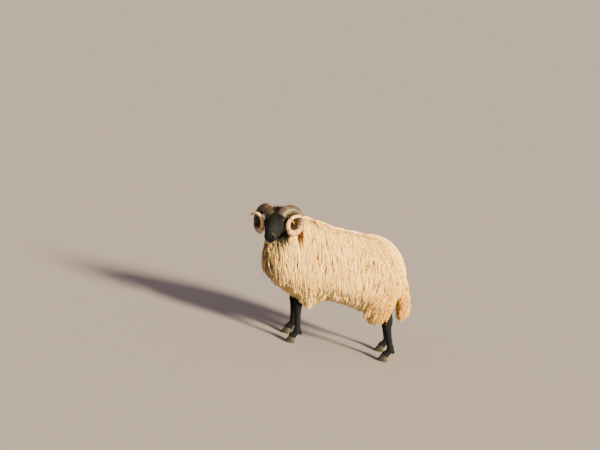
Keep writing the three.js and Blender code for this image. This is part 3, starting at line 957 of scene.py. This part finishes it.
def scattered(made, tried, apart, allowed):
    """Spots over a mesh, kept apart, where allowed says so, with their normals."""
    mesh = made.data
    mesh.calc_loop_triangles()
    corners = np.zeros(len(mesh.loop_triangles) * 3, int)
    mesh.loop_triangles.foreach_get("vertices", corners)
    corners = vertices_of(made)[corners.reshape(-1, 3)]
    cross = np.cross(corners[:, 1] - corners[:, 0], corners[:, 2] - corners[:, 0])
    area = np.linalg.norm(cross, axis=1) * allowed(corners.mean(1), unit(cross))
    pick = random.choice(len(area), tried, p=area / area.sum())
    a, b = np.sqrt(random.random(tried)), random.random(tried)
    weights = np.stack([1 - a, a * (1 - b), a * b], 1)
    spots = np.sum(corners[pick] * weights[..., None], 1)
    steps = [(dx, dy, dz) for dx in (-1, 0, 1) for dy in (-1, 0, 1) for dz in (-1, 0, 1)]
    cells, kept = {}, []
    for i, (x, y, z) in enumerate(np.floor(spots / apart).astype(int).tolist()):
        around = [j for dx, dy, dz in steps for j in cells.get((x + dx, y + dy, z + dz), ())]
        if all(np.dot(spots[i] - spots[j], spots[i] - spots[j]) > apart**2 for j in around):
            cells.setdefault((x, y, z), []).append(i)
            kept.append(i)
    return spots[kept], unit(cross[pick])[kept]


def fall(spots, normals):
    """The way the wool falls at each spot: down and a little back, and aside off the spine."""
    x, y, z = in_frame(spots, body_frame).T
    top = np.maximum(normals[:, 2], 0)
    rump = smoothstep(x, 120, 330)
    nape = smoothstep(-x, 340, 430)
    aside = np.where(y > 0, 1, -1) * (0.75 - 0.3 * rump) * top * smoothstep(np.abs(y), 0, 30)
    back = 0.07 + (0.35 + 0.5 * rump * top + 0.9 * nape) * top + 0.24 * smoothstep(-x, 180, 420)
    back -= 0.30 * smoothstep(x, 130, 300) * (1 - top)
    back += 0.10 * np.sin(0.021 * x + 0.011 * z + 1) + 0.07 * np.sin(0.047 * x - 0.017 * z)
    way = np.stack([back, aside, np.full(len(x), -1.0)], 1)
    return unit(way - normals * np.sum(way * normals, 1, keepdims=True))


def staples(roots, normals, length, depth, lift):
    """Lines of hanging staples: each runs from the skin out to the outline, then down over it.

    Each has a length, a depth of root, and a height of tip over the outline, all in metres.
    """
    count = len(roots)
    lines = np.zeros((count, STAPLE_STEPS, 3))
    outs = np.zeros((count, STAPLE_STEPS, 3))
    at, out = roots.copy(), normals.copy()
    stray = random.normal(0, 0.07, (count, 3))
    along_x = in_frame(roots, body_frame)[:, 0]
    ragged = 6 * (1 + np.sin(0.06 * along_x + np.sin(0.023 * along_x)))
    overhang = (2 + 20 * random.random(count) ** 2 + ragged) * MM
    stride = (length / (STAPLE_STEPS - 1))[:, None]
    reach = np.ones(count)
    for k in range(STAPLE_STEPS):
        u = k / (STAPLE_STEPS - 1)
        sink = depth * (1 - smoothstep(u, -0.25, 0.62)) - lift * smoothstep(u, 0.3, 1.0)
        lines[:, k] = at - out * sink[:, None]
        outs[:, k] = out
        ahead = at + unit(fall(at, out) + stray) * stride
        onto, normal = nearest(outline, ahead)
        under = normal[:, 2] < -0.30
        above = np.sum((ahead - onto) * normal, 1)
        ended = under & (above > overhang) & (reach == 1)
        reach[ended] = max(u, 0.3)
        at = np.where(under[:, None], ahead, onto)
        out = unit(np.where(under[:, None], out, normal) * 0.6 + out * 0.4)
    return lines, outs, reach


def sampled(lines, u):
    """Points at each u, from 0 to 1, down lines that are given as points."""
    last = lines.shape[1] - 1
    at = np.clip(u, 0, 1) * last
    i = np.minimum(at.astype(int), last - 1)
    t = (at - i)[..., None]
    row = np.arange(len(lines))[:, None]
    return lines[row, i] * (1 - t) + lines[row, i + 1] * t


def lock_mesh(name, centre, out, radius, flat, root_uv, marks):
    """A joined mesh of tapered three-sided locks. centre and out hold a row of points a lock."""
    count, rings = centre.shape[:2]
    ahead = unit(np.gradient(centre, axis=1))
    aside = unit(np.cross(ahead, out))
    out = np.cross(aside, ahead)
    angle = np.array((90, 210, 330)) * np.pi / 180
    wide = (radius[..., None] * np.cos(angle))[..., None] * aside[:, :, None]
    tall = (radius[..., None] * flat * np.sin(angle))[..., None] * out[:, :, None]
    tube = (centre[:, :, None] + wide + tall)[:, :-1].reshape(count, -1, 3)
    points = np.concatenate([tube, centre[:, -1:]], 1)
    each = points.shape[1]
    level = np.append(np.repeat(np.arange(rings - 1) / (rings - 1), 3), 1.0)

    # Faces of one lock: its sides, its tip, and the flat end at its root
    faces, patch = [], []
    for a in range(0, each - 4, 3):
        for k in range(3):
            n = (k + 1) % 3
            low, high = level[a], level[a + 3]
            faces.append((a + k, a + n, a + n + 3, a + k + 3))
            patch += [(k / 3, low), ((k + 1) / 3, low), ((k + 1) / 3, high), (k / 3, high)]
    for k in range(3):
        faces.append((each - 4 + k, each - 4 + (k + 1) % 3, each - 1))
        patch += [(k / 3, level[-2]), ((k + 1) / 3, level[-2]), ((k + 0.5) / 3, 1)]
    faces.append((2, 1, 0))
    patch += [(0.66, 0), (0.33, 0), (0, 0)]

    corners = np.concatenate(faces)
    starts = np.cumsum([0] + [len(face) for face in faces[:-1]])
    offset = np.arange(count)[:, None]
    mesh = bpy.data.meshes.new(name)
    mesh.vertices.add(count * each)
    mesh.vertices.foreach_set("co", points.ravel())
    mesh.loops.add(count * len(corners))
    mesh.loops.foreach_set("vertex_index", (corners + offset * each).ravel().astype(np.int32))
    mesh.polygons.add(count * len(faces))
    mesh.polygons.foreach_set("loop_start", (starts + offset * len(corners)).ravel().astype(np.int32))
    mesh.update(calc_edges=True)
    uv = root_uv[:, None] + (np.array(patch) - 0.5) * BAKE_PATCH
    mesh.uv_layers.new(name="OFBake").data.foreach_set("uv", uv.ravel().astype(np.float32))
    made = bpy.data.objects.new(name, mesh)
    bpy.context.scene.collection.objects.link(made)
    marked(made, "along", np.tile(level, count))
    for title, values in marks.items():
        marked(made, title, np.repeat(values, each))
    return made


body_unwrap = Matrix.Translation(AT + Vector((0, 0, 0.56)))
tail_unwrap = Matrix.Translation(AT + Vector((0.46, 0, 0))) @ Matrix.Rotation(math.radians(90), 4, "Y")


def unwrapped(spots, matrix):
    """Places on an unwrap of the skin: along a frame's x, and round it."""
    x, y, z = in_frame(spots, matrix).T
    place = np.stack([x, np.arctan2(y, z)], 1)
    low, high = place.min(0), place.max(0)
    return 0.02 + 0.96 * (place - low) / np.maximum(high - low, 1e-6)


def wool_allowed(spots, normals):
    """No wool grows where the head or a horn fills the outline."""
    face = in_frame(spots, face_frame)
    in_face = (face[:, 0] > -40) & (head_shape(face) < 1.0)
    clear = [depth_in(surface, spots) < -HORN_CLEARANCE for surface in horn_surfaces]
    return ~in_face & np.all(clear, 0)


def parting_allowed(spots, normals):
    near_spine = np.abs(spots[:, 1] - AT[1]) < PARTING_HALF
    return wool_allowed(spots, normals) & near_spine & (normals[:, 2] > 0.5)


roots, normals = scattered(envelope, STAPLES_TRIED, STAPLES_APART, wool_allowed)
extra = scattered(envelope, PARTING_TRIED, STAPLES_APART, parting_allowed)
bpy.data.objects.remove(envelope)
roots, normals = np.concatenate([roots, extra[0]]), np.concatenate([normals, extra[1]])
body = in_frame(roots, body_frame)
x, y, z = body.T
under = normals[:, 2] < -0.35
hind = smoothstep(x, 190, 330) * (1 - smoothstep(z, 420, 560))
on_tail = (x > 425) & (np.abs(y) < 72) & (z < 560)
on_neck = smoothstep(-x, 300, 400) * smoothstep(z, 560, 640)
length = FLANK_STAPLE - BACK_SHORTER * smoothstep(normals[:, 2], 0.3, 0.9)
length = length - THIGH_SHORTER * hind - NECK_SHORTER * on_neck
length = np.where(under, BELLY_STAPLE, np.where(on_tail, TAIL_STAPLE, length))
length = length * random.uniform(0.82, 1.12, len(roots))
whorl = np.linalg.norm(body - NAPE_WHORL, axis=1)
depth = np.where(on_tail, TAIL_ROOT_DEPTH, ROOT_DEPTH)
depth = depth * (1 - 0.62 * (1 - smoothstep(z, 250, 340)) * (x > 150))
depth = depth * (1 - 0.2 * on_neck) * (0.2 + 0.8 * smoothstep(whorl, 30, 100))
lift = random.normal(-1.5, 1.3, len(roots))
lift += hind * random.uniform(-3, 9, len(roots)) + on_tail * random.uniform(-4, 9, len(roots))
lines, outs, reach = staples(roots, normals, length * MM, depth * MM, lift * MM)


def share_before(blocked):
    """The share of each staple that runs before it first meets what blocks it."""
    blocked = blocked.reshape(lines.shape[:2])
    return np.where(blocked.any(1), blocked.argmax(1), STAPLE_STEPS) / (STAPLE_STEPS - 1)


along_lines = lines.reshape(-1, 3)
for surface in horn_surfaces:
    reach = np.minimum(reach, share_before(depth_in(surface, along_lines) > -4 * MM) - 0.04)
face = in_frame(along_lines, face_frame)
reach = np.minimum(reach, share_before((face[:, 0] > -20) & (head_shape(face) < 0.92)))
kept = reach > 0.25
roots, lines, outs, reach = (a[kept] for a in (roots, lines, outs, reach))
hind, on_neck, on_tail, under, body = (a[kept] for a in (hind, on_neck, on_tail, under, body))
face = in_frame(roots, face_frame)
# Near the jaw the wool is dark at its roots: partly the face's black hair reaching into it, partly painted
# shade under the jaw
by_jaw = (1 - smoothstep(head_shape(face), 1.12, 1.4)) * smoothstep(face[:, 0], -10, 30)

wool_material, where, mark, finish = new_material("long cream wool")
ahead = where.node("ShaderNodeSeparateXYZ", None, 0, Vector=where)
height = where.node("ShaderNodeSeparateXYZ", None, 2, Vector=where)
broad = where.noise(5.0, 2.0)
streak = where.mapped((26, 26, 5)).noise(1.0, 3.0, 0.6)
fibres = where.mapped((1300, 1300, 70)).noise(1.0, 3.0, 0.7)
cream = (mark("tone") * 0.5 + streak * 0.5).ramp(0.25, 0.75).mix(WOOL_GOLD, WOOL_CREAM)
cream = (mark("tint") * 0.6 + mark("along") * 0.4).ramp(0.45, 0.95).mix(cream, WOOL_PALE)
cream = fibres.ramp(0.3, 0.6).mix(WOOL_GOLD, cream)
haunch = (ahead - 0.20 + broad * 0.3).ramp(0.10, 0.40) * (0.60 - height + broad * 0.2).ramp(0.0, 0.32)
brown = (haunch * (mark("tone") * 0.75 + mark("along") * 0.4)).ramp(0.12, 0.80).mix(cream, WOOL_BROWN)
# Painted shade: each lock darkens towards its root, as if deep in the fleece
root = mark("along").ramp(0.0, 0.35).mix(WOOL_PAINTED_SHADE, brown)
# Darker at the throat and chest front: partly the ram's own grey strands, partly painted shade on the
# chest front turned from the light
throat = (0.0 - ahead - 0.33 + broad * 0.10).ramp(0.0, 0.14)
grey = throat * (mark("tone") + mark("tint") * 0.5).ramp(0.22, 0.66) * 0.9
# The black by the jaw: black hair, and painted shade under the jaw
jaw = mark("by_jaw") * (1 - mark("along").ramp(0.12, 0.5))
finish(
    bump=fibres,
    height=0.0012,
    strength=0.7,
    Base_Color=jaw.mix(grey.mix(root, WOOL_GREY_AND_SHADE), HAIR_SUNNED),
    Roughness=0.85,
    Sheen_Weight=0.3,
    Sheen_Roughness=0.5,
)
taken = np.zeros(len(roots), bool)


def wool_piece(name, wanted, each=9, rings=6, matrix=body_unwrap):
    """A piece of the coat: the staples wanted and not yet taken, each split into fine locks."""
    chosen = wanted & ~taken
    taken[chosen] = True
    index = np.repeat(np.nonzero(chosen)[0], each)
    count = len(index)
    u = np.linspace(0, 1, rings)[None]
    own = reach[index] * random.uniform(LOCK_END, 1.0, count)
    begin = random.uniform(0, LOCK_START, count)
    at = begin[:, None] + (own - begin)[:, None] * u
    centre, out = sampled(lines[index], at), unit(sampled(outs[index], at))
    aside = unit(np.cross(unit(np.gradient(centre, axis=1)), out))
    spread = random.uniform(-1, 1, (count, 2)) * LOCK_SPREAD * MM
    crimped = np.maximum(hind, on_tail)[index]
    drawn = random.uniform(*LOCK_GATHER, len(roots))[index] * (1 - crimped) + CURL_GATHER * crimped
    gather = 1 - drawn[:, None] * smoothstep(u, 0.05, 0.9)
    turns = (random.uniform(*LOCK_TURNS, count) * (1 + CURL_TURNS * crimped))[:, None]
    phase = 2 * np.pi * (random.random(len(roots))[index] + random.uniform(-0.12, 0.12, count))[:, None]
    sway = (LOCK_SWAY + CURL_SWAY * crimped + TAIL_SWAY * on_tail[index])[:, None]
    sway = sway * MM * smoothstep(u, 0.05, 0.5)
    wave = phase + 2 * np.pi * turns * u
    centre = centre + aside * (spread[:, :1] * gather + np.sin(wave) * sway)[..., None]
    centre = centre + out * (spread[:, 1:] * gather + np.cos(wave) * sway * 0.6)[..., None]
    stray = (random.random(count) < STRAY_SHARE) & ~under[index]
    rise = random.uniform(0, STRAY_RISE, count) * stray * MM
    centre = centre + out * rise[:, None, None] * u[..., None]
    wide = np.where(stray, STRAY_RADIUS, random.uniform(*LOCK_RADIUS, count) * (1 - 0.15 * crimped))
    radius = wide[:, None] * np.interp(u, *LOCK_TAPER) * MM
    uv = unwrapped(roots[index] + aside[:, 0] * spread[:, :1], matrix)
    marks = {"tone": random.random(len(roots))[index], "tint": random.random(count)}
    marks["by_jaw"] = by_jaw[index]
    made = lock_mesh(name, centre, out, radius, LOCK_FLATNESS, uv, marks)
    dressed(made, wool_material, "wool")


wool_piece("wool_tail", on_tail, each=10, rings=10, matrix=tail_unwrap)
wool_piece("wool_ruff", on_neck > 0.5)
wool_piece("wool_belly", under, each=4)
for side_name, here in (("left", body[:, 1] < 0), ("right", body[:, 1] >= 0)):
    wool_piece(f"wool_thigh_{side_name}", here & (hind > 0.4), each=10, rings=10)
    wool_piece(f"wool_shoulder_{side_name}", here & (body[:, 0] < -170))
    wool_piece(f"wool_ribs_{side_name}", here & (body[:, 0] < 90))
    wool_piece(f"wool_rump_{side_name}", here)

laid = lines[np.linspace(0, 1, STAPLE_STEPS)[None] <= reach[:, None]]
wool_points = KDTree(len(laid))
for k, spot in enumerate(laid):
    wool_points.insert(spot, k)
wool_points.balance()


def covered_by_wool(spots, out):
    """How surely wool lies over each spot, from 0 to 1."""
    closest = np.ones(len(spots))
    for height in range(6, 55, 12):
        found = [wool_points.find(spot)[2] for spot in spots + out * height * MM]
        closest = np.minimum(closest, found)
    return 1 - smoothstep(closest, 14 * MM, 19 * MM)


# The skin under the wool is the wool's colour darkened as painted shade of the fleece's depth, and black
# elsewhere as the short hair is
points, out = vertices_of(hide), vertices_of(hide, "normal")
face, body = in_frame(points, face_frame), in_frame(points, body_frame)
woolly = np.ones(len(points))
in_doubt = points[:, 2] < 0.42
woolly[in_doubt] = covered_by_wool(points[in_doubt], out[in_doubt])
# At the front the black reaches further out under the jaw: the jaw's black hair, and painted shade in the
# gaps between jaw and wool
black_head = head_shape(face) - 0.28 * smoothstep(face[:, 0], -30, 10)
behind_poll = (-66 - face[:, 0]) / 20 + 1
woolly *= smoothstep(np.maximum(black_head, behind_poll), 1.0, 1.12) * ~on_ear
for x, y, _ in FEET.values():
    from_leg = np.hypot(body[:, 0] - x + 40 * (x > 0), body[:, 1] - y)
    above_leg = smoothstep(body[:, 2], 350, 365)
    woolly = np.minimum(woolly, np.maximum(smoothstep(from_leg, 64, 72), above_leg))
marked(hide, "woolly", woolly)


# ---------------------------------------------------------------------------------------------
# The short hair: stiff black hair that lies flat on the face, ears and legs in small tufts, a
# longer forelock over the roots of the horns, and the wool that hangs under the throat.
TUFT_POINTS = 4
TUFT_FLATNESS = 0.4
TUFT_SINK = 0.3  # how far inside the skin a tuft starts, in millimetres
FINE_APART = 3.1 * MM
TUFTS_APART = 3.6 * MM
LEG_TUFTS_APART = 6 * MM
THROAT_APART = 6.5 * MM
FACE_TRIED = 42000
EARS_TRIED = 9000
LEGS_TRIED = 22000
POLL_TRIED = 12000
TEMPLES_TRIED = 9000
THROAT_TRIED = 12000
EAR_TUFT = 7.0
LEG_TUFT = 9.0
THROAT_LENGTH = (42, 70)
LID_OPENING = (15.5, 10.5)
LIPS_HALF = 4

hair_material, where, mark, finish = new_material("short black hair")
sunned = (mark("tint") * 0.6 + mark("along") * 0.3 + where.noise(16.0, 3.0) * 0.4).ramp(0.3, 0.9)
finish(Base_Color=sunned.mix(HAIR_BLACK, HAIR_SUNNED), Roughness=0.62, Specular_IOR_Level=0.3)
face_x, face_y, face_z = np.array(face_frame)[:3, :3].T
head_y = np.array(head_frame)[:3, 1]


def hair_piece(
    name, spots, out, way, length, width, rise, matrix=face_frame, material=hair_material, slot="hair"
):
    """A piece of short hair: at each spot a flat tapered tuft that lies along its own way."""
    count = len(spots)
    u = np.linspace(0, 1, TUFT_POINTS)[None, :, None]
    way = way + random.normal(0, 0.16, (count, 3))
    way = unit(way - out * np.sum(way * out, 1, keepdims=True))
    long = (length * random.uniform(0.7, 1.2, count) * MM)[:, None, None]
    bow = u * (1 - 0.5 * u) * (rise * random.uniform(0.5, 1.5, count))[:, None, None]
    start = spots[:, None] - out[:, None] * TUFT_SINK * MM
    centre = start + long * (way[:, None] * u + out[:, None] * bow)
    radius = (width * random.uniform(0.8, 1.2, count) * MM)[:, None] * np.interp(u[..., 0], *LOCK_TAPER)
    marks = {"tone": random.random(count), "tint": random.random(count)}
    face = in_frame(spots, face_frame)
    near = head_shape(face) + random.normal(0, 0.05, count)
    # The throat wool by the jaw is dark at its roots: black hair, and painted shade under the jaw
    marks["by_jaw"] = (1 - smoothstep(near, 1.15, 1.38)) * smoothstep(face[:, 0], -30, 10)
    outs = np.repeat(out[:, None], TUFT_POINTS, 1)
    made = lock_mesh(name, centre, outs, radius, TUFT_FLATNESS, unwrapped(spots, matrix), marks)
    dressed(made, material, slot)


def clear_of_eyes(spots):
    clear = np.ones(len(spots), bool)
    for matrix in eye_frames.values():
        a, b, c = in_frame(spots, matrix).T
        clear &= np.hypot(a / LID_OPENING[0], b / LID_OPENING[1]) > 1
    return clear


def ears_grow(spots, normals=None):
    x, y, z = in_frame(spots, head_frame).T
    return (np.abs(y) > 56) & (x > -45) & (x < 40) & (np.abs(z + 75) < 36)


def face_grows(spots, normals):
    face = in_frame(spots, face_frame)
    x, y, z = face.T
    lips = (x > 172) & (np.abs(z - MOUTH_LEVEL - MOUTH_RISE * (x - MOUTH_FRONT)) < LIPS_HALF)
    here = (x > -44) & (x < 212) & (head_shape(face) < 1.05) & ~lips
    return here & clear_of_eyes(spots) & ~ears_grow(spots)


def legs_grow(spots, normals):
    x, y, z = in_frame(spots, body_frame).T
    near = [np.hypot(x - at_x + 40 * (at_x > 0), y - at_y) < 68 for at_x, at_y, _ in FEET.values()]
    here = np.any(near, 0) & (z > 40) & (z < 400)
    here[here] = (z[here] < 300) | (covered_by_wool(spots[here], normals[here]) < 0.5)
    return here


def poll_grows(spots, normals):
    x, y, z = in_frame(spots, face_frame).T
    by_horn = [np.abs(depth_in(surface, spots) + 6 * MM) < 9 * MM for surface in horn_surfaces]
    crown = (x > -90) & (x < 22) & (np.abs(y) < 56) & (z > 8 - 40 * (x < -50))
    return crown | (np.any(by_horn, 0) & (x > -50) & (x < 60) & (z > -30) & (np.abs(y) < 62))


def temples_grow(spots, normals):
    x, y, z = in_frame(spots, face_frame).T
    here = (x > -28) & (x < 52) & (np.abs(y) > 36) & (z > -34) & (z < 18)
    return here & clear_of_eyes(spots) & ~ears_grow(spots)


def throat_grows(spots, normals):
    face = in_frame(spots, face_frame)
    shape, x = head_shape(face), face[:, 0]
    here = (x > -260) & (x < 150) & ((shape > 1.02) | (x < -58)) & (shape < 2.3)
    return here & ~ears_grow(spots) & (spots[:, 2] > 0.5)


# On the face the hair runs from the poll to the nose, and down the cheeks
spots, normals = scattered(hide, FACE_TRIED, FINE_APART, face_grows)
up = normals @ face_z
lie = np.outer(smoothstep(up, -0.1, 0.7) - 0.5 * (1 - smoothstep(up, -0.4, 0.2)), face_x)
lie = lie - np.outer(1 - np.abs(up), face_z)
size = 9.5 - 4.5 * smoothstep(in_frame(spots, face_frame)[:, 0], 60, 190)
hair_piece("face_hair", spots, normals, lie, size, width=0.10 * size, rise=0.30)

spots, normals = scattered(hide, EARS_TRIED, TUFTS_APART, ears_grow)
lie = np.outer(np.sign(in_frame(spots, head_frame)[:, 1]), head_y)
hair_piece("ear_hair", spots, normals, lie, EAR_TUFT, width=0.8, rise=0.2, matrix=head_frame)

spots, normals = scattered(hide, LEGS_TRIED, LEG_TUFTS_APART, legs_grow)
lie = np.tile((0.12, 0, -1), (len(spots), 1))
hair_piece("leg_hair", spots, normals, lie, LEG_TUFT, width=1.1, rise=0.22, matrix=tail_unwrap)

# The forelock parts at the poll: ahead of it the tufts fall forwards, and behind it backwards
spots, normals = scattered(hide, POLL_TRIED, TUFTS_APART, poll_grows)
x, y, z = in_frame(spots, face_frame).T
ahead = smoothstep(x, -62, -34) * 2 - 1
lie = np.outer(ahead, face_x) + np.outer(y / 45, face_y) + random.normal(0, 0.3, (len(spots), 3))
size = 15 + 27 * smoothstep(-np.abs(y), -46, -12) * smoothstep(-x, -30, 10)
rise = 0.3 + 0.45 * smoothstep(x, -60, -25)
hair_piece("forelock", spots, normals, lie, size, width=1.1, rise=rise)

spots, normals = scattered(hide, TEMPLES_TRIED, TUFTS_APART, temples_grow)
lie = np.tile(-0.3 * face_x - 0.9 * face_z, (len(spots), 1))
size = 37 - 24 * smoothstep(in_frame(spots, face_frame)[:, 0], 15, 48)
hair_piece("temple_hair", spots, normals, lie, size, width=1.3, rise=2.0)

spots, normals = scattered(hide, THROAT_TRIED, THROAT_APART, throat_grows)
size = random.uniform(*THROAT_LENGTH, len(spots))
lie = fall(spots, normals)
throat = {"matrix": body_unwrap, "material": wool_material, "slot": "wool"}
hair_piece("wool_throat", spots, normals, lie, size, width=2.6, rise=0.16, **throat)


# ---------------------------------------------------------------------------------------------
# The floor, the light and the camera that show it: a plain matt floor, one low warm light from
# the right of the camera and behind it, and a pale room.
FLOOR_SIZE = 400
FLOOR_COLOUR = (0.2052, 0.2034, 0.2756, 1)
LIGHT_AT = (4.87, -3.54, 3.1)
LIGHT_AIM = (0, 0, 0.5)
LIGHT_STRENGTH = 23.0
LIGHT_ANGLE = 12  # degrees of sky that the light fills
LIGHT_COLOUR = (1.0, 0.775, 0.38)
ROOM_COLOUR = (0.74, 0.57, 0.43, 1)
CAMERA_AT = Vector((0, -5.121, 1.323)) + AT
CAMERA_AXES = ((0.98025, -0.18844, 0.06002), (0.07857, 0.09256, -0.99260), (0.18149, 0.97771, 0.10554))
LENS_LENGTH = 45.6
SENSOR_WIDTH = 36

bpy.ops.object.select_all(action="DESELECT")
bpy.ops.mesh.primitive_plane_add(size=FLOOR_SIZE, location=(0, 0, 0))
floor = bpy.context.view_layer.objects.active
floor.name = "floor"
floor_material, where, mark, finish = new_material("pale floor")
finish(Base_Color=FLOOR_COLOUR, Roughness=1.0, Specular_IOR_Level=0.0)
floor.data.materials.append(floor_material)

light = bpy.data.lights.new("low_warm_light", "SUN")
light.energy = LIGHT_STRENGTH
light.color = LIGHT_COLOUR
light.angle = math.radians(LIGHT_ANGLE)
lamp = bpy.data.objects.new("low_warm_light", light)
lamp.location = LIGHT_AT
lamp.rotation_mode = "QUATERNION"
lamp.rotation_quaternion = (Vector(LIGHT_AIM) - Vector(LIGHT_AT)).to_track_quat("-Z", "Y")
bpy.context.scene.collection.objects.link(lamp)

world = bpy.data.worlds.new("pale_room")
world.use_nodes = True
world.node_tree.nodes["Background"].inputs["Color"].default_value = ROOM_COLOUR
world.node_tree.nodes["Background"].inputs["Strength"].default_value = 1.0
bpy.context.scene.world = world

lens = bpy.data.cameras.new("camera")
lens.sensor_width = SENSOR_WIDTH
lens.lens = LENS_LENGTH
camera = bpy.data.objects.new("camera", lens)
camera.matrix_world = Matrix.Translation(CAMERA_AT) @ Matrix(CAMERA_AXES).to_4x4()
bpy.context.scene.collection.objects.link(camera)
bpy.context.scene.camera = camera
